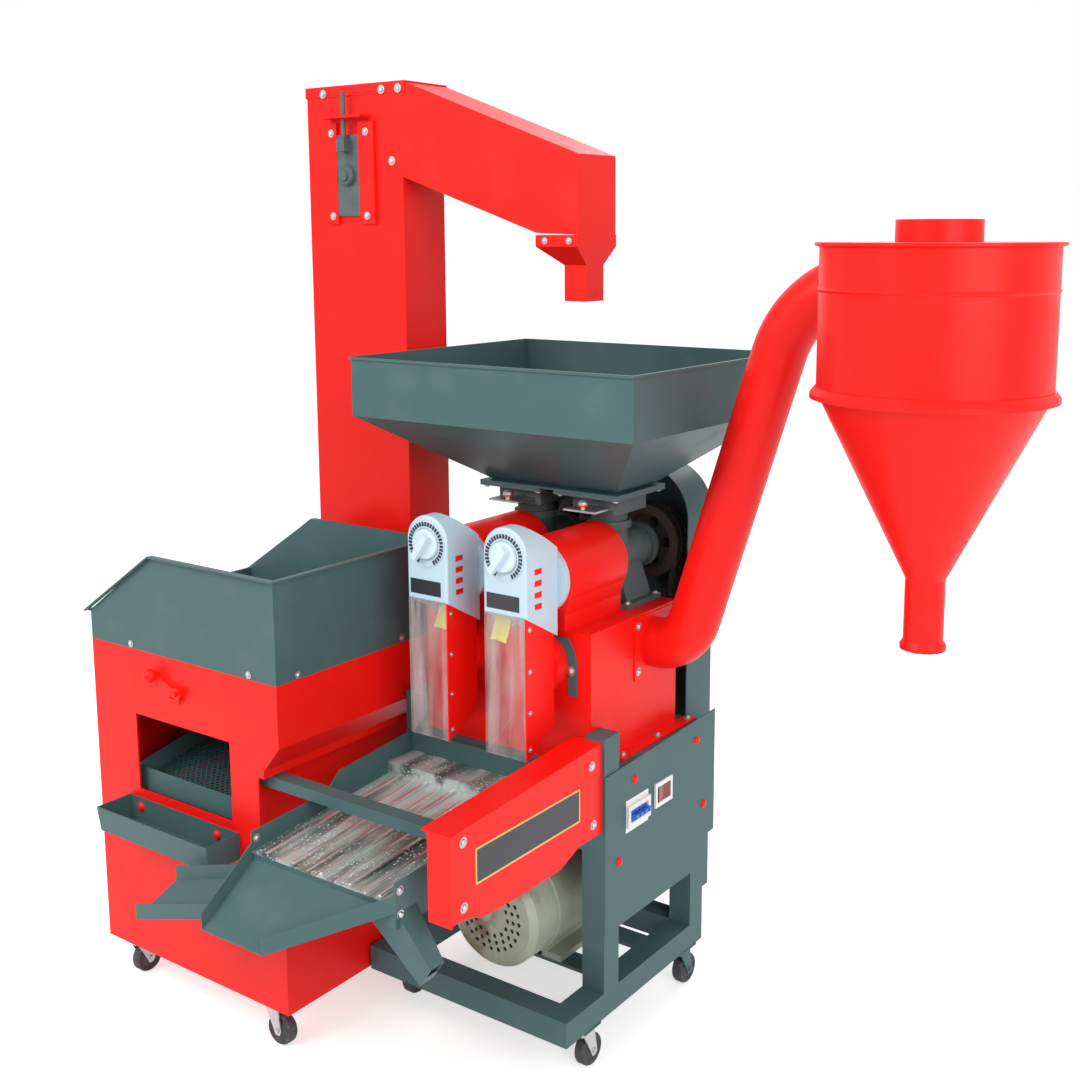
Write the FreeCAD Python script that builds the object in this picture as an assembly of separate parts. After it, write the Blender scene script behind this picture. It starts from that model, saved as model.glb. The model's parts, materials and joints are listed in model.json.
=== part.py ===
"""Rice huller: twin mill, cleaner cabinet, bucket elevator and bran cyclone.

All lengths are millimetres. While the pieces are made, x is 0 on the middle plane of the mill,
y is 0 on the front of its tube frame and z is 0 on the floor; +X is to the right of somebody who
stands in front, +Y is to the back and +Z is up. At the end everything moves so that the origin
lies at the middle of the underside of the whole machine.
"""
import FreeCAD
import Part
import math
import os
from FreeCAD import Vector

# Sheets, gaps and fits
SHEET = 2.0
THICK = 3.0
GAP = 0.3
RUN = 0.05
UP = (0, 0, 1)
BACK = (0, 1, 0)
RIGHT = (1, 0, 0)

# Casters
CASTER_H = 73.0
CASTER_PLATE = 42.0
CASTER_PLATE_T = 3.0
WHEEL_R = 25.0
WHEEL_W = 18.0
HUB_R = 8.0
RIM_R = 17.0
AXLE_R = 4.0
STEM_R = 6.0
STEM_IN = 12.0
TRAIL = 16.0
CHEEK_T = 2.5
CROWN_HALF = 15.0
CROWN_Z = 60.0

# Mill frame
TUBE = 40.0
FRAME_W = 390.0
FRAME_D = 394.0
POST_Y = 98.0
POST_TOP = 517.0
DECK_Z = 458.0
CASTER_FRONT_Y = 68.0
MOTOR_BAR_Y = (135.0, 245.0)
MOTOR_BAR_T = 6.0

# Mill units
UNIT_X = 74.0
SHAFT_Z = 745.0
SHAFT_R = 12.0
FEED_INSET = 66.0
SHROUD_R = 59.0
SHROUD_FRONT = 9.0
SHROUD_TO_FEED = 36.0
NECK_HALF = 45.0
NECK_Z = 692.0
BEARING_R = 33.0
BEARING_RING = 9.0
BEARING_TO_PULLEY = 21.0
PULLEY_R = 62.0
PULLEY_HUB_R = 20.0
PULLEY_HOLES = 5
PULLEY_HOLE_R = 9.0
DISH_T = 10.0
GROOVE_W = 12.6
GROOVE_PITCH = 17.0
GROOVE_DEPTH = 10.0
PULLEY_INSET = 7.0
BELT_W = 12.0
BELT_H = 8.5

# Bran box and side outlets
BOX_HALF = 160.0
BOX_Y0 = 114.0
BOX_BACK_GAP = 36.0
BOX_TOP = 667.0
FOOT_REACH = 21.0
FOOT_FRONT = 56.0
OUTLET_Z = 613.0
OUTLET_R = 46.0

# Heads and chutes
HEAD_W = 79.0
HEAD_Y0 = 18.0
HEAD_Y1 = 94.0
HEAD_ARCH_Z = 796.0
HEAD_FRONT_Z = 705.0
HEAD_BACK_Z = 663.0
HEAD_BACK_TOP = 797.0
HEAD_FLANGE_R = 55.0
DIAL_Z = 792.0
DIAL_RING_R = 36.0
DIAL_R = 23.0
CHUTE_X = (-38.0, 39.0)
CHUTE_Y1 = 86.0
CHUTE_LOW_Z = 489.0
CHUTE_BACK_Z = 528.0
CHUTE_WALL = 2.5

# Feed hopper of the mill
HOPPER_W = 535.0
HOPPER_D = 464.0
HOPPER_TOP = 1061.0
HOPPER_BAND_Z = 967.0
HOPPER_LOW = 852.0
HOPPER_RIM = 4.0
THROAT_W = 121.0
THROAT_D = 140.0
FEED_HOLE = 56.0
NECK_RING_Z = 796.0
NECK_RING_R = 35.0
NECK_R = 29.0
GATE_Z = 826.0
GATE_T = 3.0
GATE_W = 60.0
GATE_REACH = 44.0

# Duct and cyclone
DUCT_R = 40.0
DUCT_TOP_Z = 1190.0
DUCT_LEAN = 0.32
DUCT_CORNER_X = 218.0
DUCT_BEND_LOW = 68.0
DUCT_BEND_HIGH = 160.0
CYCLONE_X = 638.0
DRUM_R = 147.0
DRUM_TOP = 1240.0
DRUM_LOW = 1046.0
DRUM_BRIM = 8.0
COLLAR_R = 54.0
COLLAR_TOP = 1268.0
BRAN_PIPE_R = 26.0
CONE_LOW = 808.0
PIPE_LOW = 714.0
PIPE_LIP_R = 30.0
PIPE_LIP_H = 6.0

# Belt cover and motor
COVER_HALF = 160.0
COVER_DEPTH = 80.0
COVER_LOW = 130.0
COVER_TOP = 875.0
COVER_CORNER = 85.0
MOTOR_X = 10.0
MOTOR_Z = 203.0
MOTOR_R = 88.0
COWL_R = 86.0
COWL_Y0 = 56.0
COWL_Y1 = 118.0
MOTOR_Y1 = 330.0
MOTOR_BELL = 22.0
MOTOR_FOOT_X = (40.0, 78.0)
MOTOR_FOOT_T = 10.0
TERMINAL = (80.0, 80.0, 34.0)
SHAFT_SEAT = 40.0
MOTOR_PULLEY_R = 40.0

# Side panel, guard and tie bar
PANEL_Z0 = 208.0
PANEL_STEP_Z = 258.0
PANEL_BACK = (11.0, 32.0)
PANEL_RISE = 12.0
GUARD_Y0 = -247.0
GUARD_FLANGE = 40.0
TIE_Y = (-158.0, -133.0)
TIE_Z = (426.0, 444.0)

# Switches in the side panel
BREAKER_Y = (154.0, 218.0)
BREAKER_Z = (350.0, 402.0)
ROCKER_Y = (237.0, 284.0)
ROCKER_Z = (364.0, 400.0)
SWITCH_PIN_R = 2.0

# Sieve
SIEVE_X = (-168.0, 108.0)
SIEVE_Y = (-263.0, 80.0)
SIEVE_FRONT_Z = 385.0
SIEVE_STEP_Y = 20.0
SIEVE_STEP_Z = 408.0
SIEVE_PAN_Z = 428.0
SIEVE_LOW_Z = 350.0
SIEVE_FLOOR_Z = 375.0
SIEVE_STROKE = 4.0
LIP_Z = 308.0
LIP_Y = -357.0
LIP_X = -46.0
CHUTE_RISE = 22.0
SIDE_CHUTE_X = (-376.0, -150.0)
SIDE_CHUTE_Y = (-310.0, -255.0)
SIDE_CHUTE_Z = 240.0
SIDE_CHUTE_FALL = 0.3
SIDE_CHUTE_TILT = 0.69
HUSK_TOP_X = (30.0, 106.0)
HUSK_TOP_Y = (-261.0, -222.0)
HUSK_MOUTH_X = (130.0, 150.0)
HUSK_MOUTH_Y = (-243.0, -216.0)
HUSK_MOUTH_Z = (268.0, 297.0)

# Cleaner cabinet
CLEANER_GAP = 6.0
CAB_W = 437.0
CAB_Y = (-175.0, 240.0)
CAB_TOP = 597.0
RECESS_IN = 69.0
CAB_RECESS_Z = (200.0, 446.0)
HOOD_IN = 34.0
HOOD_Z = (458.0, 500.0)
EDGE_IN = 47.0
WINDOW_IN = (333.0, 109.0)
WINDOW_Z = (360.0, 488.0)
CAB_CASTER_IN = (399.0, 61.0)
CAB_CASTER_Y = (-147.0, 205.0)
BIN_Y1 = 168.0
BIN_HIGH = 757.0
BIN_LOW = 645.0
BIN_BREAK_IN = 275.0
BIN_RIM = 8.0

# Tray, lever and screen of the cleaner
TRAY_IN = (359.0, 95.0)
TRAY_Y0 = -240.0
TRAY_Z = (303.0, 345.0)
LEVER_IN = (219.0, 276.0)
LEVER_Z = (545.0, 565.0)
LEVER_KNOB_R = 11.0
SCREEN_IN = (359.0, 89.0)
SCREEN_Y = (-160.0, 90.0)
SCREEN_Z = 353.0
SCREEN_RISE = 52.0
SCREEN_WALL = 38.0

# Elevator
LEG_IN = (325.0, 105.0)
LEG_DEPTH = 104.0
LEG_LOW = 80.0
LEG_TOP = 1500.0
ARM_X = (-30.0, 49.0)
ARM_DROP = (250.0, 128.0)
ARM_JOIN_DROP = 154.0
LID_SKIRT = 16.0
SPOUT_TUBE = (42.0, 47.0)
SPOUT_COLLAR = 18.0
SPOUT_FUNNEL = 47.0
SPOUT_LENGTH = 103.0
TAKE_UP_IN = 226.0
TAKE_UP_DROP = 149.0
SLIDER_W = 50.0
SLIDER_H = 136.0
STRIP_T = 6.0
STRIP_REACH = (82.0, 89.0)
TAB_RISE = 95.0
TAB_T = 4.0
SCREW_Y = 14.0
SCREW_TOP_DROP = 10.0

# Places that follow from the sizes above
MILL_CASTER_X = (FRAME_W - TUBE) / 2
MILL_CASTER_Y = (CASTER_FRONT_Y, FRAME_D - TUBE)
BOX_Y1 = FRAME_D - BOX_BACK_GAP
FEED_Y = BOX_Y1 - FEED_INSET
SHROUD_Y0 = BOX_Y0 - SHROUD_FRONT
SHROUD_Y1 = FEED_Y - SHROUD_TO_FEED
PULLEY_Y0 = FRAME_D + PULLEY_INSET
BEARING_Y1 = PULLEY_Y0 - BEARING_TO_PULLEY
CYCLONE_Y = FEED_Y - (DRUM_R - DUCT_R - THICK / 3)
CLEANER_X = -(FRAME_W / 2 + CLEANER_GAP)
CAB_X = (CLEANER_X - CAB_W, CLEANER_X)
CAB_RECESS_X = CLEANER_X - RECESS_IN
CAB_HOOD = ((CLEANER_X - HOOD_IN, HOOD_Z[0]), (CLEANER_X, HOOD_Z[1]))
CAB_EDGE_X = CLEANER_X - EDGE_IN
WINDOW_X = (CLEANER_X - WINDOW_IN[0], CLEANER_X - WINDOW_IN[1])
CAB_CASTERS = ((CLEANER_X - CAB_CASTER_IN[1], CAB_CASTER_Y[0], 0.0),
               (CLEANER_X - CAB_CASTER_IN[0], CAB_CASTER_Y[0], 90.0),
               (CLEANER_X - CAB_CASTER_IN[0], CAB_CASTER_Y[1], 90.0),
               (CLEANER_X - CAB_CASTER_IN[1], CAB_CASTER_Y[1], 90.0))
BIN_BREAK_X = CLEANER_X - BIN_BREAK_IN
TRAY_X = (CLEANER_X - TRAY_IN[0], CLEANER_X - TRAY_IN[1])
LEVER_PIVOT = (CLEANER_X - LEVER_IN[0], LEVER_Z[0])
LEVER_KNOB = (CLEANER_X - LEVER_IN[1], LEVER_Z[1])
SCREEN_X = (CLEANER_X - SCREEN_IN[0], CLEANER_X - SCREEN_IN[1])
LEG_X = (CLEANER_X - LEG_IN[0], CLEANER_X - LEG_IN[1])
TAKE_UP_X = CLEANER_X - TAKE_UP_IN
ARM_Z = (LEG_TOP - ARM_DROP[0], LEG_TOP - ARM_DROP[1])
ARM_JOIN_Z = LEG_TOP - ARM_JOIN_DROP
SPOUT_LOW = ARM_Z[0] - SPOUT_LENGTH
TAKE_UP_Z = LEG_TOP - TAKE_UP_DROP


# --- helpers -------------------------------------------------------------------------------

def outward(shape):
    """Return the solid with its faces turned outward."""
    if shape.Volume < 0:
        shape.reverse()
    return shape


def block(x0, x1, y0, y1, z0, z1):
    """Return a box given by its limits along X, Y and Z."""
    return Part.makeBox(x1 - x0, y1 - y0, z1 - z0, Vector(x0, y0, z0))


def bar(start, direction, radius, length):
    """Return a round bar that leaves its start along a direction."""
    return Part.makeCylinder(radius, length, Vector(*start), Vector(*direction))


def prism(points, push):
    """Return the outline through 3-D points, pushed along a vector."""
    corners = [Vector(*point) for point in points]
    face = Part.Face(Part.makePolygon(corners + corners[:1]))
    return outward(face.extrude(Vector(*push)))


def plate_x(outline, x0, x1):
    """Return a plate across X from a (y, z) outline."""
    return prism([(x0, y, z) for y, z in outline], (x1 - x0, 0, 0))


def plate_y(outline, y0, y1):
    """Return a plate across Y from an (x, z) outline."""
    return prism([(x, y0, z) for x, z in outline], (0, y1 - y0, 0))


def plate_z(outline, z0, z1):
    """Return a plate across Z from an (x, y) outline."""
    return prism([(x, y, z0) for x, y in outline], (0, 0, z1 - z0))


def join(pieces):
    """Return one shape made of pieces that touch or overlap."""
    first, *rest = pieces
    return first.multiFuse(rest).removeSplitter() if rest else first


def turned_z(profile, x, y):
    """Return an (r, z) outline revolved about the upright line at x, y."""
    corners = [Vector(x + r, y, z) for r, z in profile]
    face = Part.Face(Part.makePolygon(corners + corners[:1]))
    return outward(face.revolve(Vector(x, y, 0), Vector(0, 0, 1), 360))


def turned_y(profile, x, z):
    """Return an (r, y) outline revolved about the line along Y at x, z."""
    corners = [Vector(x + r, y, z) for r, y in profile]
    face = Part.Face(Part.makePolygon(corners + corners[:1]))
    return outward(face.revolve(Vector(x, 0, z), Vector(0, 1, 0), 360))


def frustum(lower, upper):
    """Return the flat-sided solid between two level rectangles (x, y, width, depth, z)."""
    rings = [[Vector(x + i * w / 2, y + j * d / 2, z) for i, j in ((-1, -1), (1, -1), (1, 1), (-1, 1))]
             for x, y, w, d, z in (lower, upper)]
    low, high = rings
    sides = [[low[k], low[(k + 1) % 4], high[(k + 1) % 4], high[k]] for k in range(4)]
    faces = [Part.Face(Part.makePolygon(ring + ring[:1])) for ring in [low, high] + sides]
    return outward(Part.Solid(Part.Shell(faces)))


def funnel(lower, upper, wall):
    """Return an open-ended sheet funnel between two level rectangles."""
    inside = [(x, y, w - 2 * wall, d - 2 * wall, z) for x, y, w, d, z in (lower, upper)]
    return frustum(lower, upper).cut(frustum(*inside))


def placed(shape, x, y, heading):
    """Return a copy turned by a heading in degrees and set down at x, y."""
    copy = shape.copy()
    copy.rotate(Vector(0, 0, 0), Vector(0, 0, 1), heading)
    copy.translate(Vector(x, y, 0))
    return copy


# --- casters -------------------------------------------------------------------------------

def caster_seat(x, y):
    """Return the plate under a frame and the cutter of the stem's bore."""
    half = CASTER_PLATE / 2
    plate = block(x - half, x + half, y - half, y + half, CASTER_H - CASTER_PLATE_T, CASTER_H)
    bore = bar((x, y, CASTER_H - CASTER_PLATE_T), UP, STEM_R + RUN, CASTER_PLATE_T + STEM_IN)
    return plate, bore


def caster_fork(crown_top):
    """Return a fork at the origin that trails along +X, with its axle."""
    inner = WHEEL_W / 2 + GAP
    outer = inner + CHEEK_T
    cheek = [(-CROWN_HALF, crown_top), (CROWN_HALF, crown_top), (TRAIL + 2 * AXLE_R, WHEEL_R),
             (TRAIL + AXLE_R, WHEEL_R - 2 * AXLE_R), (TRAIL - AXLE_R, WHEEL_R - 2 * AXLE_R),
             (TRAIL - 2 * AXLE_R, WHEEL_R)]
    return join([
        plate_y(cheek, -outer, -inner),
        plate_y(cheek, inner, outer),
        block(-CROWN_HALF, CROWN_HALF, -outer, outer, CROWN_Z, crown_top),
        bar((TRAIL, -outer - CHEEK_T, WHEEL_R), BACK, AXLE_R, 2 * (outer + CHEEK_T)),
    ])


def swivel_fork():
    """Return a fork that turns on its stem."""
    crown_top = CASTER_H - CASTER_PLATE_T - GAP
    stem = bar((0, 0, CROWN_Z), UP, STEM_R, CASTER_H + STEM_IN - GAP - CROWN_Z)
    return caster_fork(crown_top).fuse(stem)


def caster_wheel():
    """Return a wheel that stands on the floor at the end of a fork's trail."""
    half = WHEEL_W / 2
    dish = half - THICK
    profile = [(AXLE_R + RUN, -half), (HUB_R, -half), (RIM_R, -dish), (WHEEL_R - SHEET, -half), (WHEEL_R, -dish),
               (WHEEL_R, dish), (WHEEL_R - SHEET, half), (RIM_R, dish), (HUB_R, half), (AXLE_R + RUN, half)]
    return turned_y(profile, TRAIL, WHEEL_R)


# --- mill frame, panels and guards ---------------------------------------------------------

def mill_frame():
    """Return the welded tube frame with its caster plates and rigid rear forks."""
    half = FRAME_W / 2
    inner = half - TUBE
    rail_top = CASTER_H + TUBE
    back = FRAME_D - TUBE
    bars = [
        block(-half, half, 0, TUBE, CASTER_H, rail_top),
        block(-half, half, back, FRAME_D, CASTER_H, rail_top),
        block(-half, half, POST_Y, POST_Y + TUBE, DECK_Z - TUBE, DECK_Z),
        block(-half, half, back, FRAME_D, DECK_Z - TUBE, DECK_Z),
    ]
    for x0 in (-half, inner):
        bars += [
            block(x0, x0 + TUBE, 0, FRAME_D, CASTER_H, rail_top),
            block(x0, x0 + TUBE, POST_Y, POST_Y + TUBE, rail_top, DECK_Z),
            post_tip(x0),
            block(x0, x0 + TUBE, back, FRAME_D, rail_top, DECK_Z),
            block(x0, x0 + TUBE, POST_Y, FRAME_D, DECK_Z - TUBE, DECK_Z),
        ]
    bars += [block(-inner, inner, y, y + TUBE, rail_top - MOTOR_BAR_T, rail_top) for y in MOTOR_BAR_Y]
    bars += sieve_rails()
    cutters = []
    for side in (-1, 1):
        for index, y in enumerate(MILL_CASTER_Y):
            plate, bore = caster_seat(side * MILL_CASTER_X, y)
            bars.append(plate)
            if index == 0:
                cutters.append(bore)
            else:
                bars.append(placed(caster_fork(CASTER_H - CASTER_PLATE_T), side * MILL_CASTER_X, y, 90))
    return join(bars).cut(Part.makeCompound(cutters))


def post_tip(x0):
    """Return the narrower end of a front post that stands up beside the box."""
    side_x0, side_x1 = (x0, -BOX_HALF - GAP) if x0 < 0 else (BOX_HALF + GAP, x0 + TUBE)
    return block(side_x0, side_x1, POST_Y, POST_Y + TUBE, DECK_Z, POST_TOP)


def sieve_rails():
    """Return the beam and the two arms that the sieve slides on."""
    inner = FRAME_W / 2 - TUBE
    top = SIEVE_FLOOR_Z - GAP
    low = top - TUBE / 2
    beam = block(-inner, inner, POST_Y, POST_Y + TUBE, low - TUBE / 2, top)
    span = SIEVE_X[1] - SIEVE_X[0]
    arms = [block(SIEVE_X[0] + share * span - TUBE / 4, SIEVE_X[0] + share * span + TUBE / 4,
                  SIEVE_Y[0] / 2, POST_Y, low, top) for share in (0.15, 0.85)]
    return [beam] + arms


def side_panel():
    """Return the sheet on the right of the frame with its switch cut-outs."""
    x0 = FRAME_W / 2
    step, back = FRAME_D + PANEL_BACK[0], FRAME_D + PANEL_BACK[1]
    outline = [(POST_Y, PANEL_Z0), (step, PANEL_Z0), (step, PANEL_STEP_Z), (back, PANEL_STEP_Z),
               (back, DECK_Z + PANEL_RISE), (POST_Y, DECK_Z)]
    sheet = plate_x(outline, x0, x0 + SHEET)
    for (y0, y1), (z0, z1) in ((BREAKER_Y, BREAKER_Z), (ROCKER_Y, ROCKER_Z)):
        sheet = sheet.cut(block(x0, x0 + SHEET, y0, y1, z0, z1))
    return sheet


def side_guard():
    """Return the folded guard beside the sieve."""
    x1 = FRAME_W / 2 - SHEET * 2
    x0 = x1 - SHEET
    y1 = POST_Y
    top_front, top_back = 494, 512
    outline = [(GUARD_Y0, top_front), (GUARD_Y0, 372), (-219, 372), (-184, 359), (-106, 355), (-8, 355),
               (39, 372), (y1, 372), (y1, top_back)]
    plate = plate_x(outline, x0, x1)
    flange_top = plate_x([(GUARD_Y0, top_front - SHEET), (GUARD_Y0, top_front), (y1, top_back), (y1, top_back - SHEET)],
                         x1 - GUARD_FLANGE - 10, x1)
    front = block(x1 - GUARD_FLANGE, x1, GUARD_Y0, GUARD_Y0 + SHEET, 368, top_front - SHEET)
    rear = block(x1 - TUBE * 0.85, x1, y1 - SHEET, y1, 392, top_back - 2 * SHEET)
    return join([plate, flange_top, front, rear])


def tie_bar():
    """Return the flat bar that ties the guard to the cabinet."""
    return block(CAB_RECESS_X, FRAME_W / 2 - 3 * SHEET, *TIE_Y, *TIE_Z)


def belt_cover():
    """Return the round-topped sheet housing of the belts, open to the front."""
    y0 = FRAME_D
    y1 = y0 + COVER_DEPTH

    def arch(half, top, front, rear):
        corner = COVER_CORNER - (COVER_HALF - half)
        body = block(-half, half, front, rear, COVER_LOW, top)
        edges = [e for e in body.Edges if abs(e.BoundBox.ZMin - top) < 0.01 and e.BoundBox.YLength > 1]
        edges = [e for e in edges if e.BoundBox.XLength < 0.01]
        return body.makeFillet(corner, edges)

    return arch(COVER_HALF, COVER_TOP, y0, y1).cut(arch(COVER_HALF - SHEET, COVER_TOP - SHEET, y0, y1 - SHEET))


# --- mill ----------------------------------------------------------------------------------

def bran_box():
    """Return the box that carries both mill units, with its feet and round outlets."""
    body = block(-BOX_HALF, BOX_HALF, BOX_Y0, BOX_Y1, DECK_Z, BOX_TOP)
    pieces = [body]
    for side in (-1, 1):
        x0, x1 = sorted((side * BOX_HALF, side * (BOX_HALF + FOOT_REACH)))
        pieces.append(block(x0, x1, BOX_Y0 + FOOT_FRONT, FRAME_D - SHEET, DECK_Z, DECK_Z + THICK))
        pieces.append(bar((side * UNIT_X, CHUTE_Y1, OUTLET_Z), BACK, OUTLET_R, BOX_Y0 - CHUTE_Y1))
    cavity = block(-BOX_HALF + THICK, BOX_HALF - THICK, BOX_Y0 + THICK, BOX_Y1 - THICK,
                   DECK_Z + THICK, BOX_TOP - THICK)
    return join(pieces).cut(cavity)


def clamp_plate():
    """Return the quarter-round plate bolted beside the right outlet."""
    inner = OUTLET_R + GAP
    outer = inner + 15
    y0 = BOX_Y0 - THICK
    ring = bar((UNIT_X, y0, OUTLET_Z), BACK, outer, THICK).cut(bar((UNIT_X, y0, OUTLET_Z), BACK, inner, THICK))
    quarter = ring.common(block(UNIT_X, UNIT_X + outer, y0, BOX_Y0, OUTLET_Z, BOX_TOP - 4 * THICK))
    tail = block(UNIT_X + inner, UNIT_X + outer, y0, BOX_Y0, OUTLET_Z - inner, OUTLET_Z)
    return join([quarter, tail])


def shroud(x):
    """Return the sheet shroud round one rotor."""
    y0, y1 = SHROUD_Y0, SHROUD_Y1

    def body(radius, neck, front, rear, low):
        drum = bar((x, front, SHAFT_Z), BACK, radius, rear - front)
        sides = plate_y([(x - radius, SHAFT_Z), (x - neck, NECK_Z), (x - neck, low), (x + neck, low),
                         (x + neck, NECK_Z), (x + radius, SHAFT_Z)], front, rear)
        return join([drum, sides])

    shell = body(SHROUD_R, NECK_HALF, y0, y1, BOX_TOP)
    cavity = body(SHROUD_R - THICK, NECK_HALF - THICK, y0 + THICK, y1 - THICK, BOX_TOP + THICK)
    return shell.cut(cavity)


def bearing(x):
    """Return the cast housing behind one shroud, on its pedestal."""
    ring_r = BEARING_R + BEARING_RING
    y0 = SHROUD_Y1
    foot = block(x - 58, x + 58, y0, BOX_Y1 - 2, BOX_TOP, BOX_TOP + 8)
    web = plate_y([(x - 46, BOX_TOP + 8), (x + 46, BOX_TOP + 8), (x + 24, SHAFT_Z - 10), (x - 24, SHAFT_Z - 10)],
                  y0 + 18, BOX_Y1 - 14)
    ribs = [block(x - 3, x + 3, y0, BOX_Y1 - 2, BOX_TOP, SHAFT_Z)]
    pieces = [foot, web, bar((x, y0, SHAFT_Z), BACK, BEARING_R, BEARING_Y1 - y0),
              bar((x, y0, SHAFT_Z), BACK, ring_r, 12),
              bar((x, BEARING_Y1 - 14, SHAFT_Z), BACK, ring_r - 4, 14),
              bar((x, FEED_Y, SHAFT_Z), UP, NECK_R, NECK_RING_Z - SHAFT_Z),
              bar((x, FEED_Y, NECK_RING_Z - 6), UP, NECK_RING_R, 6)] + ribs
    bore = bar((x, y0 + 6, SHAFT_Z), BACK, SHAFT_R + RUN, BEARING_Y1)
    return join(pieces).cut(bore)


def throat(x):
    """Return the neck between hopper and housing, with the slot of its gate."""
    ring = bar((x, FEED_Y, NECK_RING_Z), UP, NECK_RING_R, 6)
    neck = bar((x, FEED_Y, NECK_RING_Z), UP, NECK_R, GATE_Z - 8 - NECK_RING_Z)
    case_half = GATE_W / 2 + 12
    case = block(x - case_half, x + case_half, FEED_Y - case_half, FEED_Y + case_half, GATE_Z - 8, HOPPER_LOW - 6)
    flange = block(x - THROAT_W / 2, x + THROAT_W / 2, FEED_Y - THROAT_D / 2, FEED_Y + THROAT_D / 2,
                   HOPPER_LOW - 6, HOPPER_LOW)
    slot = block(x - GATE_W / 2 - GAP, x + GATE_W / 2 + GAP, FEED_Y - case_half, FEED_Y + case_half - 4,
                 GATE_Z - GAP, GATE_Z + GATE_T + GAP)
    hole = bar((x, FEED_Y, NECK_RING_Z), UP, FEED_HOLE / 2 - 4, HOPPER_LOW - NECK_RING_Z)
    return join([ring, neck, case, flange]).cut(slot).cut(hole)


def gate(x):
    """Return the slide plate of one throat with its knob."""
    case_half = GATE_W / 2 + 12
    y0 = FEED_Y - case_half - GATE_REACH
    plate = block(x - GATE_W / 2, x + GATE_W / 2, y0, FEED_Y + case_half - 4 - GAP, GATE_Z, GATE_Z + GATE_T)
    knob = turned_z([(0, GATE_Z + GATE_T), (4, GATE_Z + GATE_T), (4, GATE_Z + 7), (8, GATE_Z + 9),
                     (8, GATE_Z + 15), (5, GATE_Z + 18), (0, GATE_Z + 18)], x, y0 + 12)
    return join([plate, knob])


def groove_pulley(radius, y0, count):
    """Return the (r, y) outline of a belt pulley with its grooves."""
    width = count * GROOVE_PITCH
    profile = [(0, y0), (radius, y0)]
    for index in range(count):
        start = y0 + index * GROOVE_PITCH + (GROOVE_PITCH - GROOVE_W) / 2
        profile += [(radius, start), (radius - GROOVE_DEPTH, start),
                    (radius - GROOVE_DEPTH, start + GROOVE_W), (radius, start + GROOVE_W)]
    return profile + [(radius, y0 + width), (0, y0 + width)]


def rotor(x, y0):
    """Return one mill shaft with its two-groove pulley."""
    wheel = turned_y(groove_pulley(PULLEY_R, y0, 2), x, SHAFT_Z)
    width = 2 * GROOVE_PITCH
    rim = PULLEY_R - GROOVE_DEPTH - 6
    dish = bar((x, y0, SHAFT_Z), BACK, rim, DISH_T).cut(bar((x, y0, SHAFT_Z), BACK, PULLEY_HUB_R, DISH_T))
    middle = (rim + PULLEY_HUB_R) / 2
    angles = [2 * math.pi * k / PULLEY_HOLES for k in range(PULLEY_HOLES)]
    holes = [bar((x + middle * math.cos(a), y0, SHAFT_Z + middle * math.sin(a)), BACK, PULLEY_HOLE_R, width)
             for a in angles]
    shaft_start = SHROUD_Y1 + 6 + GAP
    shaft = bar((x, shaft_start, SHAFT_Z), BACK, SHAFT_R, y0 + width - shaft_start)
    return join([wheel.cut(dish).cut(Part.makeCompound(holes)), shaft])


def head(x):
    """Return one moulded head with its rear flange and dial ring."""
    half = HEAD_W / 2
    rise = HEAD_ARCH_Z + half
    arch = join([block(x - half, x + half, HEAD_Y0, HEAD_Y1, HEAD_BACK_Z, HEAD_ARCH_Z),
                 bar((x, HEAD_Y0, HEAD_ARCH_Z), BACK, half, HEAD_Y1 - HEAD_Y0)])
    side = plate_x([(HEAD_Y0, HEAD_FRONT_Z), (HEAD_Y0, rise), (HEAD_Y0 + 26, rise), (HEAD_Y1, HEAD_BACK_TOP),
                    (HEAD_Y1, HEAD_BACK_Z)], x - half, x + half)
    shell = arch.common(side)
    front = [e for e in shell.Edges if e.BoundBox.YMax < HEAD_Y0 + 0.01]
    shell = shell.makeFillet(4, front)
    flange = bar((x, HEAD_Y1, SHAFT_Z), BACK, HEAD_FLANGE_R, SHROUD_Y0 - HEAD_Y1)
    ring = bar((x, HEAD_Y0 - 1.5, DIAL_Z), BACK, DIAL_RING_R - 1, 1.5)
    ring = ring.cut(bar((x, HEAD_Y0 - 1.5, DIAL_Z), BACK, DIAL_R + 2, 1.5))
    vents = [block(x + half - 1.5, x + half, HEAD_Y0 + 20, HEAD_Y0 + 38, z - 4.5, z + 4.5)
             for z in (DIAL_Z - 22 - 17.3 * k for k in range(4))]
    bore = bar((x, HEAD_Y0 - 2, DIAL_Z), BACK, AXLE_R + RUN, 16)
    return join([shell, flange, ring]).cut(Part.makeCompound(vents + [bore]))


def dial(x):
    """Return one knob with its pointer grip, pointing to about seven o'clock."""
    y1 = HEAD_Y0 - GAP
    disc = bar((x, y1 - 7, DIAL_Z), BACK, DIAL_R, 7)
    skirt = disc.makeChamfer(2, [e for e in disc.Edges if e.BoundBox.YMax < y1 - 6.9])
    grip = block(x - 5, x + 5, y1 - 17, y1 - 7, DIAL_Z - DIAL_R - 3, DIAL_Z + DIAL_R - 4)
    grip.rotate(Vector(x, 0, DIAL_Z), Vector(0, 1, 0), 35)
    pin = bar((x, y1 - 7, DIAL_Z), BACK, AXLE_R, 18)
    return join([skirt, grip, pin])


def head_underside(y):
    """Return the height of a head's underside at a depth y."""
    return HEAD_FRONT_Z - (y - HEAD_Y0) * (HEAD_FRONT_Z - HEAD_BACK_Z) / (HEAD_Y1 - HEAD_Y0)


def chute_side():
    """Return the (y, z) outline of a chute's side wall."""
    return [(HEAD_Y0, head_underside(HEAD_Y0)), (CHUTE_Y1, head_underside(CHUTE_Y1)),
            (CHUTE_Y1, CHUTE_BACK_Z), (HEAD_Y0, CHUTE_LOW_Z)]


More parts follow.
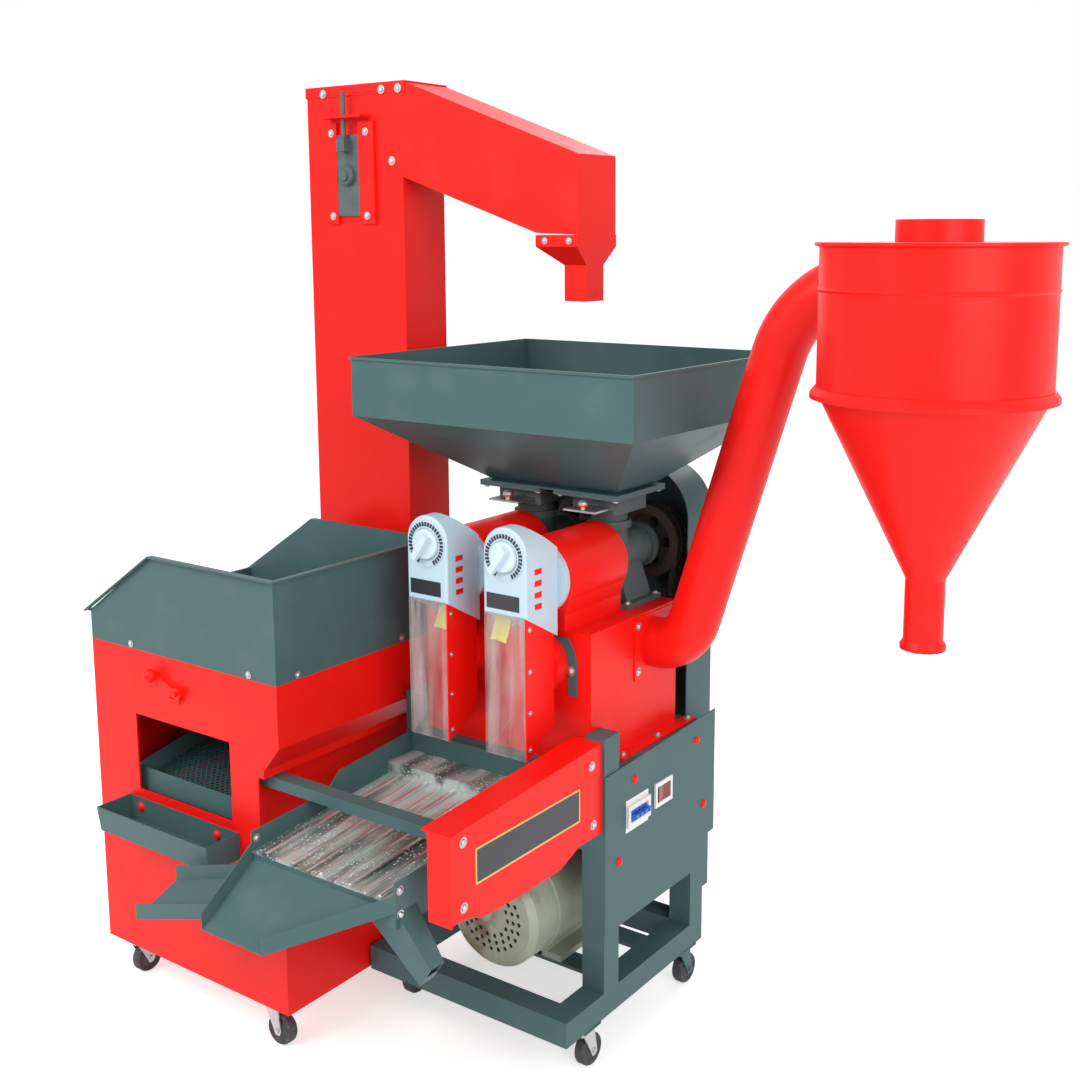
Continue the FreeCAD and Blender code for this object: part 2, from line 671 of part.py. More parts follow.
def window(x):
    """Return the clear front and left wall of one discharge chute."""
    x0, x1 = x + CHUTE_X[0], x + CHUTE_X[1]
    left = plate_x(chute_side(), x0, x0 + CHUTE_WALL)
    wedge = plate_x(chute_side(), x0, x1 - CHUTE_WALL)
    front = wedge.common(block(x0, x1, HEAD_Y0, HEAD_Y0 + CHUTE_WALL, CHUTE_LOW_Z, HEAD_FRONT_Z))
    return join([left, front])


def channel(x):
    """Return the folded right and back wall of one discharge chute."""
    x0, x1 = x + CHUTE_X[0], x + CHUTE_X[1]
    wall = plate_x(chute_side(), x1 - CHUTE_WALL, x1)
    wedge = plate_x(chute_side(), x0 + CHUTE_WALL, x1)
    back = wedge.common(block(x0, x1, CHUTE_Y1 - SHEET, CHUTE_Y1, CHUTE_LOW_Z, HEAD_FRONT_Z))
    return join([wall, back])


def mill_hopper():
    """Return the open feed hopper with its pyramid and two outlets."""
    span = 2 * UNIT_X + FEED_HOLE + 40
    depth = FEED_HOLE + 50
    low = HOPPER_LOW + THICK
    band_w, band_d = HOPPER_W - 2 * THICK, HOPPER_D - 2 * THICK
    pyramid = funnel((0, FEED_Y, span, depth, low), (0, FEED_Y, band_w, band_d, HOPPER_BAND_Z), SHEET)
    band = funnel((0, FEED_Y, band_w, band_d, HOPPER_BAND_Z), (0, FEED_Y, band_w, band_d, HOPPER_TOP), SHEET)
    rim = funnel((0, FEED_Y, HOPPER_W, HOPPER_D, HOPPER_TOP - HOPPER_RIM),
                 (0, FEED_Y, HOPPER_W, HOPPER_D, HOPPER_TOP), THICK)
    width = 2 * UNIT_X + THROAT_W
    floor = block(-width / 2, width / 2, FEED_Y - THROAT_D / 2, FEED_Y + THROAT_D / 2, HOPPER_LOW, low)
    holes = [bar((side * UNIT_X, FEED_Y, HOPPER_LOW), UP, FEED_HOLE / 2, THICK) for side in (-1, 1)]
    return join([pyramid, band, rim, floor.cut(Part.makeCompound(holes))])


# --- duct and cyclone ----------------------------------------------------------------------

def duct_run(start, end):
    """Return a straight hollow stretch of the duct between two points of its middle line."""
    along = end - start
    outer = Part.makeCylinder(DUCT_R, along.Length, start, along)
    return outer.cut(Part.makeCylinder(DUCT_R - SHEET, along.Length, start, along))


def duct_bend(start, heading, radius, swing):
    """Return a hollow bend that starts level or upright and swings by an angle in degrees."""
    side = Vector(-heading.z, 0, heading.x) * (1 if swing > 0 else -1)
    centre = start + side * radius
    rings = [Part.Wire(Part.makeCircle(r, start, heading)) for r in (DUCT_R, DUCT_R - SHEET)]
    ring = Part.Face(rings[0]).cut(Part.Face(rings[1])).Faces[0]
    return outward(ring.revolve(centre, Vector(0, -1, 0), swing))


def bran_duct():
    """Return the bent pipe from the box to the drum, with its foot flange."""
    lean = math.hypot(1, DUCT_LEAN)
    rise = Vector(DUCT_LEAN / lean, 0, 1 / lean)
    turn = math.degrees(math.acos(DUCT_LEAN / lean))
    low = Vector(DUCT_CORNER_X, FEED_Y, OUTLET_Z)
    high = low + rise * ((DUCT_TOP_Z - OUTLET_Z) / rise.z)
    pieces = []
    heading, start = Vector(1, 0, 0), Vector(BOX_HALF + SHEET, FEED_Y, OUTLET_Z)
    for corner, radius, after, swing in ((low, DUCT_BEND_LOW, rise, turn),
                                         (high, DUCT_BEND_HIGH, Vector(1, 0, 0), -turn)):
        reach = radius * math.tan(math.radians(turn) / 2)
        begin = corner - heading * reach
        pieces += [duct_run(start, begin), duct_bend(begin, heading, radius, swing)]
        heading, start = after, corner + after * reach
    pieces.append(duct_run(start, Vector(CYCLONE_X - DRUM_R / 8, FEED_Y, DUCT_TOP_Z)))
    flange = block(BOX_HALF, BOX_HALF + SHEET, FEED_Y - 60, FEED_Y + 60, OUTLET_Z - 50, OUTLET_Z + 50)
    flange = flange.cut(bar((BOX_HALF, FEED_Y, OUTLET_Z), RIGHT, DUCT_R - SHEET, SHEET))
    drum = bar((CYCLONE_X, CYCLONE_Y, DRUM_LOW), UP, DRUM_R, DRUM_TOP - DRUM_LOW)
    return join(pieces + [flange]).cut(drum)


def cyclone_drum():
    """Return the drum with its lid, collar, bead and lower ring."""
    wall = DRUM_R - SHEET
    bead = (DRUM_TOP + DRUM_LOW) / 2 + 38
    profile = [(COLLAR_R - SHEET, DRUM_TOP - 90), (COLLAR_R, DRUM_TOP - 90), (COLLAR_R, DRUM_TOP - SHEET),
               (wall, DRUM_TOP - SHEET), (wall, DRUM_LOW), (DRUM_R + DRUM_BRIM, DRUM_LOW),
               (DRUM_R + DRUM_BRIM, DRUM_LOW + THICK),
               (DRUM_R + 2, DRUM_LOW + 11), (DRUM_R, DRUM_LOW + 11), (DRUM_R, bead - 3), (DRUM_R + 2, bead),
               (DRUM_R, bead + 3), (DRUM_R, DRUM_TOP - 6), (DRUM_R + 6, DRUM_TOP - 4), (DRUM_R + 6, DRUM_TOP),
               (COLLAR_R, DRUM_TOP), (COLLAR_R, COLLAR_TOP), (COLLAR_R - SHEET, COLLAR_TOP)]
    drum = turned_z(profile, CYCLONE_X, CYCLONE_Y)
    inlet = bar((CYCLONE_X - DRUM_R, FEED_Y, DUCT_TOP_Z), RIGHT, DUCT_R - SHEET, DRUM_R)
    beside_inlet = block(CYCLONE_X - DRUM_R, CYCLONE_X, FEED_Y - DUCT_R - THICK, CYCLONE_Y + DRUM_R + THICK,
                         bead - THICK, bead + THICK)
    bare_wall = bar((CYCLONE_X, CYCLONE_Y, bead - THICK), UP, DRUM_R, 2 * THICK)
    return drum.cut(inlet).cut(beside_inlet.cut(bare_wall))


def cyclone_cone():
    """Return the cone with its outlet pipe and flared mouth."""
    top = DRUM_R - 4
    pipe = BRAN_PIPE_R
    brim = DRUM_R + DRUM_BRIM
    profile = [(brim, DRUM_LOW - THICK), (brim, DRUM_LOW), (top - SHEET, DRUM_LOW), (pipe - SHEET, CONE_LOW),
               (pipe - SHEET, PIPE_LOW + 2 * PIPE_LIP_H), (PIPE_LIP_R - SHEET, PIPE_LOW + PIPE_LIP_H),
               (PIPE_LIP_R - SHEET, PIPE_LOW), (PIPE_LIP_R, PIPE_LOW), (PIPE_LIP_R, PIPE_LOW + PIPE_LIP_H),
               (pipe, PIPE_LOW + 2 * PIPE_LIP_H), (pipe, CONE_LOW), (top, DRUM_LOW - THICK)]
    return turned_z(profile, CYCLONE_X, CYCLONE_Y)


# --- motor and belts -----------------------------------------------------------------------

def motor_body():
    """Return the smooth-shelled motor with feet, rear bell and terminal box."""
    bore_y = MOTOR_Y1 - SHAFT_SEAT
    bell = MOTOR_Y1 - MOTOR_BELL
    shell = turned_y([(0, COWL_Y1), (MOTOR_R - THICK, COWL_Y1), (MOTOR_R, COWL_Y1 + THICK), (MOTOR_R, bell),
                      (MOTOR_R - MOTOR_BELL, MOTOR_Y1), (0, MOTOR_Y1)], MOTOR_X, MOTOR_Z)
    pieces = [shell]
    floor = CASTER_H + TUBE
    y0, y1 = MOTOR_BAR_Y[0], MOTOR_BAR_Y[1] + TUBE
    for side in (-1, 1):
        inner = MOTOR_X + side * MOTOR_FOOT_X[0]
        for reach, top in ((MOTOR_FOOT_X[1], floor + MOTOR_FOOT_T), (MOTOR_FOOT_X[0] + MOTOR_FOOT_T, MOTOR_Z - MOTOR_R / 2)):
            x0, x1 = sorted((inner, MOTOR_X + side * reach))
            pieces.append(block(x0, x1, y0, y1, floor, top))
    middle = (y0 + y1) / 2
    pieces.append(block(MOTOR_X - TERMINAL[0] / 2, MOTOR_X + TERMINAL[0] / 2, middle - TERMINAL[1] / 2,
                        middle + TERMINAL[1] / 2, MOTOR_Z + MOTOR_R * 0.8, MOTOR_Z + MOTOR_R + TERMINAL[2]))
    bore = bar((MOTOR_X, bore_y, MOTOR_Z), BACK, SHAFT_R + RUN, MOTOR_Y1)
    return join(pieces).cut(bore)


def motor_cowl():
    """Return the fan cowl with rings of air holes round a plain middle."""
    profile = [(0, COWL_Y0), (COWL_R - 10, COWL_Y0), (COWL_R, COWL_Y0 + 10), (COWL_R, COWL_Y1),
               (COWL_R - SHEET, COWL_Y1), (COWL_R - SHEET, COWL_Y0 + 11), (COWL_R - 11, COWL_Y0 + SHEET), (0, COWL_Y0 + SHEET)]
    cowl = turned_y(profile, MOTOR_X, MOTOR_Z)
    holes = []
    for radius, count in ((33, 14), (44, 19), (55, 24)):
        for k in range(count):
            angle = 2 * math.pi * k / count
            x, z = MOTOR_X + radius * math.cos(angle), MOTOR_Z + radius * math.sin(angle)
            corners = [(x + 4 * math.cos(math.pi * s / 3), COWL_Y0, z + 4 * math.sin(math.pi * s / 3)) for s in range(6)]
            holes.append(prism(corners, (0, SHEET, 0)))
    return cowl.cut(Part.makeCompound(holes))


def motor_pulley():
    """Return the motor's shaft with its four-groove pulley."""
    start = MOTOR_Y1 - SHAFT_SEAT + GAP
    wheel = turned_y(groove_pulley(MOTOR_PULLEY_R, PULLEY_Y0, 4), MOTOR_X, MOTOR_Z)
    return join([wheel, bar((MOTOR_X, start, MOTOR_Z), BACK, SHAFT_R, PULLEY_Y0 - start)])


def belt(x, groove):
    """Return one belt round a rotor pulley and the motor pulley."""
    seat = GROOVE_DEPTH - GAP * 2
    y0 = PULLEY_Y0 + groove * GROOVE_PITCH + (GROOVE_PITCH - BELT_W) / 2

    def loop(inset):
        big, small = PULLEY_R - inset, MOTOR_PULLEY_R - inset
        dx, dz = x - MOTOR_X, SHAFT_Z - MOTOR_Z
        span = math.hypot(dx, dz)
        along = math.atan2(dz, dx)
        open_angle = math.acos((big - small) / span)
        ends = []
        for side in (1, -1):
            a = along + math.pi - side * open_angle
            ends.append((Vector(x + big * math.cos(a), y0, SHAFT_Z + big * math.sin(a)),
                         Vector(MOTOR_X + small * math.cos(a), y0, MOTOR_Z + small * math.sin(a))))
        top = Vector(x + big * math.cos(along), y0, SHAFT_Z + big * math.sin(along))
        low = Vector(MOTOR_X - small * math.cos(along), y0, MOTOR_Z - small * math.sin(along))
        (a1, b1), (a2, b2) = ends
        wire = Part.Wire([Part.LineSegment(a1, b1).toShape(), Part.Arc(b1, low, b2).toShape(),
                          Part.LineSegment(b2, a2).toShape(), Part.Arc(a2, top, a1).toShape()])
        return outward(Part.Face(wire).extrude(Vector(0, BELT_W, 0)))

    return loop(seat - BELT_H).cut(loop(seat))


def drive_belts():
    """Return the four belts."""
    return Part.makeCompound([belt(UNIT_X, 0), belt(UNIT_X, 1), belt(-UNIT_X, 2), belt(-UNIT_X, 3)])


# --- switches ------------------------------------------------------------------------------

def breaker_body():
    """Return the breaker case with the well of its toggle."""
    x0 = FRAME_W / 2
    (y0, y1), (z0, z1) = BREAKER_Y, BREAKER_Z
    z = (z0 + z1) / 2
    case = join([block(x0 - 45, x0 + SHEET, y0 + GAP, y1 - GAP, z0 + GAP, z1 - GAP),
                 block(x0 + SHEET, x0 + 7, y0 + GAP, y1 - GAP, z - 17, z + 17)])
    well = block(x0 - 14, x0 + 7, y0 + 7, y1 - 7, z - 10, z + 10)
    bore = bar((x0 - 4, y0 + 3, z), BACK, SWITCH_PIN_R + RUN, y1 - y0 - 6)
    return case.cut(well).cut(bore)


def breaker_toggle():
    """Return the linked levers of the breaker on their drum."""
    x = FRAME_W / 2 - 4
    (y0, y1), (z0, z1) = BREAKER_Y, BREAKER_Z
    z = (z0 + z1) / 2
    y_in, y_out = y0 + 7 + GAP, y1 - 7 - GAP
    drum = bar((x, y_in, z), BACK, 8, y_out - y_in)
    pin = bar((x, y0 + 3 + GAP, z), BACK, SWITCH_PIN_R, y1 - y0 - 6 - 2 * GAP)
    pitch = (y_out - y_in) / 4
    levers = [block(x + 6, x + 19, y_in + pitch * k + 2, y_in + pitch * (k + 1) - 2, z - 3, z + 3) for k in range(4)]
    link = block(x + 13, x + 17, y_in + 2, y_out - 2, z - 2, z + 2)
    return join([drum, pin, link] + levers)


def switch_body():
    """Return the bezel and case of the rocker switch."""
    x0 = FRAME_W / 2
    (y0, y1), (z0, z1) = ROCKER_Y, ROCKER_Z
    case = join([block(x0 - 25, x0 + SHEET, y0 + GAP, y1 - GAP, z0 + GAP, z1 - GAP),
                 block(x0 + SHEET, x0 + 5, y0 - 2, y1 + 2, z0 - 2, z1 + 2)])
    well = block(x0 - 14, x0 + 5, y0 + 4, y1 - 4, z0 + 5, z1 - 5)
    bore = bar((x0 - 3, (y0 + y1) / 2, z0 + 2), UP, SWITCH_PIN_R + RUN, z1 - z0 - 4)
    return case.cut(well).cut(bore)


def power_rocker():
    """Return the rocker of the switch on its pin."""
    x0 = FRAME_W / 2
    (y0, y1), (z0, z1) = ROCKER_Y, ROCKER_Z
    y = (y0 + y1) / 2
    half = (y1 - y0) / 2 - 4 - 2
    outline = [(x0 - 8, y - half + 4), (x0 + 6, y - half), (x0 + 3, y), (x0 + 6, y + half), (x0 - 8, y + half - 4)]
    rocker = plate_z(outline, z0 + 5 + GAP, z1 - 5 - GAP)
    pin = bar((x0 - 3, y, z0 + 2 + GAP), UP, SWITCH_PIN_R, z1 - z0 - 4 - 2 * GAP)
    return join([rocker, pin])


# --- sieve ---------------------------------------------------------------------------------

def deck_height(y):
    """Return the height of the sieve deck at a depth y."""
    (y0, z0), (y1, z1) = (SIEVE_Y[0], SIEVE_FRONT_Z), (SIEVE_STEP_Y, SIEVE_STEP_Z)
    return z0 + (y - y0) * (z1 - z0) / (y1 - y0)


def sieve_tray():
    """Return the shaking tray with its walls, pan and grain chutes."""
    (x0, x1), (y0, y1) = SIEVE_X, SIEVE_Y
    wall = [(y0, SIEVE_LOW_Z), (y0, 414), (-160, 419), (-112, 424), (-85, 447), (68, 460), (y1, 461),
            (y1, SIEVE_LOW_Z)]
    pieces = [plate_x(wall, x0, x0 + SHEET), plate_x(wall, x1 - SHEET, x1),
              block(x0, x1, y1 - SHEET, y1, SIEVE_LOW_Z + 30, 461),
              block(x0, x1, y0, y1, SIEVE_FLOOR_Z, SIEVE_FLOOR_Z + SHEET),
              block(x0, x1, y0, y0 + SHEET, SIEVE_LOW_Z, SIEVE_FRONT_Z - SHEET)]
    return join(pieces + rice_chute() + side_chute() + husk_spout())


def rice_chute():
    """Return the tapering chute in front of the deck."""
    x0, x1 = SIEVE_X
    y0 = SIEVE_Y[0]
    z0 = SIEVE_FLOOR_Z
    low = (0, 0, -SHEET)
    floor = prism([(x0, y0, z0), (x1, y0, z0), (LIP_X, LIP_Y, LIP_Z), (x0, LIP_Y, LIP_Z)], low)
    left = prism([(x0, y0, z0 - SHEET), (x0, y0, z0 + CHUTE_RISE), (x0, LIP_Y, LIP_Z + CHUTE_RISE),
                  (x0, LIP_Y, LIP_Z - SHEET)], (SHEET, 0, 0))
    right = prism([(x1, y0, z0 - SHEET), (x1, y0, z0 + CHUTE_RISE), (LIP_X, LIP_Y, LIP_Z + CHUTE_RISE),
                   (LIP_X, LIP_Y, LIP_Z - SHEET)], (-SHEET, 0, 0))
    return [floor, left, right]


def side_chute():
    """Return the trough that leads the broken grain out to the left."""
    x0, x1 = SIDE_CHUTE_X
    y0, y1 = SIDE_CHUTE_Y
    z1 = SIEVE_FLOOR_Z

    def floor_z(x, y):
        return SIDE_CHUTE_Z + SIDE_CHUTE_FALL * (x - x0) + SIDE_CHUTE_TILT * (y - y0)

    cut_x = x0 + (y1 - y0) / 2
    corners = [(x, y, floor_z(x, y)) for x, y in ((x0, y0), (x1, y0), (x1, y1), (cut_x, y1))]
    floor = prism(corners, (0, 0, -SHEET))
    front = prism([(x0, y0, floor_z(x0, y0) - SHEET), (x1, y0, floor_z(x1, y0) - SHEET),
                   (x1, y0, floor_z(x1, y0) + CHUTE_RISE), (x0, y0, floor_z(x0, y0) + CHUTE_RISE)], (0, SHEET, 0))
    tray_x = SIEVE_X[0]
    rear = prism([(cut_x, y1, floor_z(cut_x, y1) - SHEET), (x1, y1, floor_z(x1, y1) - SHEET), (x1, y1, z1),
                  (tray_x, y1, z1), (tray_x, y1, floor_z(tray_x, y1) + CHUTE_RISE),
                  (cut_x, y1, floor_z(cut_x, y1) + CHUTE_RISE)], (0, SHEET, 0))
    return [floor, front, rear]


def husk_spout():
    """Return the tapering husk tube under the right front corner."""

    def tube(inset):
        (x0, x1), (y0, y1) = HUSK_TOP_X, HUSK_TOP_Y
        z = SIEVE_FLOOR_Z
        (mx0, mx1), (my0, my1), (mz0, mz1) = HUSK_MOUTH_X, HUSK_MOUTH_Y, HUSK_MOUTH_Z
        top = [Vector(x0 + inset, y0 + inset, z), Vector(x1 - inset, y0 + inset, z),
               Vector(x1 - inset, y1 - inset, z), Vector(x0 + inset, y1 - inset, z)]
        mouth = [Vector(mx0, my0 + inset, mz0 + inset), Vector(mx1, my0 + inset, mz1 - inset),
                 Vector(mx1, my1 - inset, mz1 - inset), Vector(mx0, my1 - inset, mz0 + inset)]
        wires = [Part.makePolygon(points + points[:1]) for points in (top, mouth)]
        return outward(Part.makeLoft(wires, True, True))

    return [tube(0).cut(tube(SHEET))]


def sieve_deck():
    """Return the ribbed deck and the raised pan behind it."""
    x0, x1 = SIEVE_X[0] + SHEET, SIEVE_X[1] - SHEET
    y0 = SIEVE_Y[0]
    y1 = SIEVE_Y[1] - SHEET
    sheet = plate_x([(y0, SIEVE_FRONT_Z - SHEET), (y0, SIEVE_FRONT_Z), (SIEVE_STEP_Y, SIEVE_STEP_Z),
                     (SIEVE_STEP_Y, SIEVE_PAN_Z), (y1, SIEVE_PAN_Z), (y1, SIEVE_PAN_Z - SHEET),
                     (SIEVE_STEP_Y + SHEET, SIEVE_PAN_Z - SHEET), (SIEVE_STEP_Y + SHEET, SIEVE_STEP_Z - SHEET)], x0, x1)
    ribs = []
    for k in range(5):
        x = x0 + (x1 - x0) * (k + 0.5) / 5
        ribs.append(plate_x([(y0, SIEVE_FRONT_Z), (y0, SIEVE_FRONT_Z + THICK), (SIEVE_STEP_Y, SIEVE_STEP_Z + THICK),
                             (SIEVE_STEP_Y, SIEVE_STEP_Z)], x - 4, x + 4))
    return join([sheet] + ribs)


# --- cleaner -------------------------------------------------------------------------------

def cabinet_outline(inset):
    """Return the (x, z) outline of the cabinet, moved inward by an inset."""
    x0, x1 = CAB_X
    (hx0, hz0), (hx1, hz1) = CAB_HOOD
    z0, z1 = CAB_RECESS_Z
    low, high = CASTER_H + inset, CAB_TOP + (inset if inset else 0)
    return [(x0 + inset, low), (x1 - inset, low), (x1 - inset, z0 - inset), (CAB_RECESS_X - inset, z0 - inset),
            (CAB_RECESS_X - inset, z1 + inset), (hx0 - inset, z1 + inset), (hx0 - inset, hz0 + inset),
            (hx1 - inset, hz1 + inset), (x1 - inset, high), (x0 + inset, high)]


def cabinet_body():
    """Return the sheet cabinet with its window, side recess and screen ledges."""
    (x0, x1), (y0, y1) = CAB_X, CAB_Y
    shell = plate_y(cabinet_outline(0), y0, y1).cut(plate_y(cabinet_outline(THICK), y0 + THICK, y1 - THICK))
    shell = shell.cut(block(*WINDOW_X, y0, y0 + THICK, *WINDOW_Z))
    edge = block(CAB_RECESS_X, CAB_EDGE_X, y0, y0 + THICK, *CAB_RECESS_Z)
    shelf = block(x0 + THICK, x1 - THICK, BIN_Y1, y1 - THICK, CAB_TOP - THICK, CAB_TOP)
    ledge_low = SCREEN_Z - GAP - 15
    ledges = [block(x0 + THICK, SCREEN_X[0] + 12, SCREEN_Y[0] + 12, SCREEN_Y[1], ledge_low, SCREEN_Z - GAP),
              block(SCREEN_X[1] - 12, CAB_RECESS_X - THICK, SCREEN_Y[0] + 12, SCREEN_Y[1], ledge_low, SCREEN_Z - GAP)]
    pivot = bar((LEVER_PIVOT[0], y0 - 14, LEVER_PIVOT[1]), BACK, AXLE_R, 14 + THICK)
    pieces = [shell, edge, shelf, pivot] + ledges
    cutters = []
    for index, (x, y, heading) in enumerate(CAB_CASTERS):
        plate, bore = caster_seat(x, y)
        pieces.append(plate)
        if index < 2:
            cutters.append(bore)
            pieces.append(bar((x, y, CASTER_H), UP, STEM_R + THICK, STEM_IN + THICK))
        else:
            pieces.append(placed(caster_fork(CASTER_H - CASTER_PLATE_T), x, y, heading))
    return join(pieces).cut(Part.makeCompound(cutters))


def bin_top(x):
    """Return the height of the cleaner hopper's front and back edge at x."""
    if x >= BIN_BREAK_X:
        return BIN_HIGH
    return BIN_LOW + (x - CAB_X[0]) * (BIN_HIGH - BIN_LOW) / (BIN_BREAK_X - CAB_X[0])


def cabinet_hopper():
    """Return the open feed hopper on the cabinet with its rim and inner funnel."""
    (x0, x1), (y0, _) = CAB_X, CAB_Y
    y1 = BIN_Y1
    profile = [(x0, CAB_TOP), (x1, CAB_TOP), (x1, BIN_HIGH), (BIN_BREAK_X, BIN_HIGH), (x0, BIN_LOW)]
    lip = [(x1 + BIN_RIM, BIN_HIGH), (BIN_BREAK_X, BIN_HIGH), (x0 - BIN_RIM, BIN_LOW),
           (x0 - BIN_RIM, BIN_LOW - THICK), (BIN_BREAK_X, BIN_HIGH - THICK), (x1 + BIN_RIM, BIN_HIGH - THICK)]
    rims = [plate_y(lip, y0 - BIN_RIM, y0), plate_y(lip, y1, y1 + BIN_RIM),
            block(x1, x1 + BIN_RIM, y0, y1, BIN_HIGH - THICK, BIN_HIGH),
            block(x0 - BIN_RIM, x0, y0, y1, BIN_LOW - THICK, BIN_LOW)]
    body = plate_y(profile, y0, y1)
    inside = plate_y([(x0 + SHEET, CAB_TOP), (x1 - SHEET, CAB_TOP), (x1 - SHEET, BIN_HIGH), (BIN_BREAK_X, BIN_HIGH),
                      (x0 + SHEET, BIN_HIGH)], y0 + SHEET, y1 - SHEET)
    middle_x, middle_y = (x0 + x1) / 2, (y0 + y1) / 2
    width, depth = x1 - x0 - 2 * THICK - 1, y1 - y0 - 2 * THICK - 1
    chute = funnel((middle_x, y0 + 60, 260, 40, CAB_TOP - 90), (middle_x, middle_y, width, depth, CAB_TOP), SHEET)
    ledge = block(x0 + SHEET, x1 - SHEET, y0 + SHEET, y1 - SHEET, CAB_TOP, CAB_TOP + SHEET)
    mouth = block(middle_x - width / 2 + SHEET, middle_x + width / 2 - SHEET, middle_y - depth / 2 + SHEET,
                  middle_y + depth / 2 - SHEET, CAB_TOP, CAB_TOP + SHEET)
    return join([body.cut(inside)] + rims + [chute, ledge.cut(mouth)])


def stone_tray():
    """Return the open trough on the cabinet's front."""
    x0, x1 = TRAY_X
    y1 = CAB_Y[0]
    z0, z1 = TRAY_Z
    outer = plate_x([(y1, z1), (y1, z0), (TRAY_Y0 + 6, z0), (TRAY_Y0, z1)], x0, x1)
    inner = plate_x([(y1 - SHEET, z1), (y1 - SHEET, z0 + SHEET), (TRAY_Y0 + 6 + SHEET, z0 + SHEET),
                     (TRAY_Y0 + SHEET, z1)], x0 + SHEET, x1 - SHEET)
    return outer.cut(inner)


def gate_lever():
    """Return the bent lever of the cabinet's feed gate with its round knob."""
    (px, pz), (kx, kz) = LEVER_PIVOT, LEVER_KNOB
    y1 = CAB_Y[0] - GAP
    length = math.hypot(kx - px, kz - pz)
    hub = bar((px, y1 - 8, pz), BACK, 9, 8)
    arm = block(0, length, y1 - 7, y1 - 3, -3.5, 3.5)
    arm.rotate(Vector(0, 0, 0), Vector(0, 1, 0), -math.degrees(math.atan2(kz - pz, kx - px)))
    arm.translate(Vector(px, 0, pz))
    knob = Part.makeSphere(LEVER_KNOB_R, Vector(kx, y1 - LEVER_KNOB_R - 1, kz))
    tail = block(px - 22, px, y1 - 7, y1 - 3, pz - 16, pz - 10).fuse(block(px - 4, px + 4, y1 - 7, y1 - 3, pz - 16, pz))
    return join([hub, arm, knob, tail]).cut(bar((px, y1 - 20, pz), BACK, AXLE_R + RUN, 20))


def stoner_screen():
    """Return the rising perforated screen behind the window."""
    (x0, x1), (y0, y1) = SCREEN_X, SCREEN_Y
    z0 = SCREEN_Z
    side = [(y0, z0), (y0, z0 + SCREEN_WALL), (y1, z0 + SCREEN_RISE + SCREEN_WALL), (y1, z0)]
    sides = [plate_x(side, x0, x0 + SHEET), plate_x(side, x1 - SHEET, x1)]
    walls = [block(x0, x1, y0, y0 + SHEET, z0, z0 + SCREEN_WALL),
             block(x0, x1, y1 - SHEET, y1, z0, z0 + SCREEN_RISE + SCREEN_WALL)]
    low = z0 + 8
    deck = plate_x([(y0, low), (y0, low + SHEET), (y1, low + SHEET + SCREEN_RISE), (y1, low + SCREEN_RISE)],
                   x0 + SHEET, x1 - SHEET)
    holes = []
    for row in range(6):
        for column in range(9):
            x = x0 + 20 + (x1 - x0 - 40) * (column + 0.5 * (row % 2) + 0.25) / 9
            y = y0 + 20 + (y1 - y0 - 40) * (row + 0.5) / 6
            holes.append(plate_z([(x - 9, y), (x, y - 9), (x + 9, y), (x, y + 9)], low - 1, low + SCREEN_RISE + SCREEN_WALL))
    return join(sides + walls + [deck.cut(Part.makeCompound(holes))])


# --- elevator ------------------------------------------------------------------------------

def leg_outline(inset):
    """Return the (x, z) outline of the leg and its arm, moved inward by an inset."""
    (x0, x1), (a0, a1), (z0, z1) = LEG_X, ARM_X, ARM_Z
    return [(x0 + inset, LEG_LOW + inset), (x1 - inset, LEG_LOW + inset), (x1 - inset, ARM_JOIN_Z + inset),
            (a0, z0 + 3 + inset), (a1 - inset, z0 + inset), (a1 - inset, z1 - inset),
            (x1 + 6, LEG_TOP - inset), (x0 + inset, LEG_TOP - inset)]


def elevator_leg():
    """Return the hollow leg with its sloping arm, lid skirt and take-up guides."""
    y0, y1 = CAB_Y[1], CAB_Y[1] + LEG_DEPTH
    shell = plate_y(leg_outline(0), y0, y1).cut(plate_y(leg_outline(SHEET), y0 + SHEET, y1 - SHEET))
    a0, a1 = ARM_X
    shell = shell.cut(block(a0 + SHEET, a1 - SHEET, y0 + SHEET, y1 - SHEET, ARM_Z[0] - 5, ARM_Z[0] + 8))
    (x0, x1) = LEG_X
    lid = block(x0 - SHEET, x1 + 8, y0 - SHEET, y1 + SHEET, LEG_TOP - LID_SKIRT, LEG_TOP + SHEET)
    lid = lid.cut(block(x0, x1 + 9, y0, y1, LEG_TOP - LID_SKIRT - 1, LEG_TOP))
    strips = [block(x, x + width, y0 - STRIP_T, y0, TAKE_UP_Z - STRIP_REACH[0], TAKE_UP_Z + STRIP_REACH[1])
              for x, width in ((TAKE_UP_X - SLIDER_W / 2 - GAP - 24, 24), (TAKE_UP_X + SLIDER_W / 2 + GAP, 35))]
    tab_z = TAKE_UP_Z + TAB_RISE
    tab = block(TAKE_UP_X - 45, TAKE_UP_X + 50, y0 - 26, y0, tab_z, tab_z + TAB_T)
    tab = tab.cut(bar((TAKE_UP_X, y0 - SCREW_Y, tab_z), UP, AXLE_R + RUN, TAB_T))
    return join([shell, lid, tab] + strips)


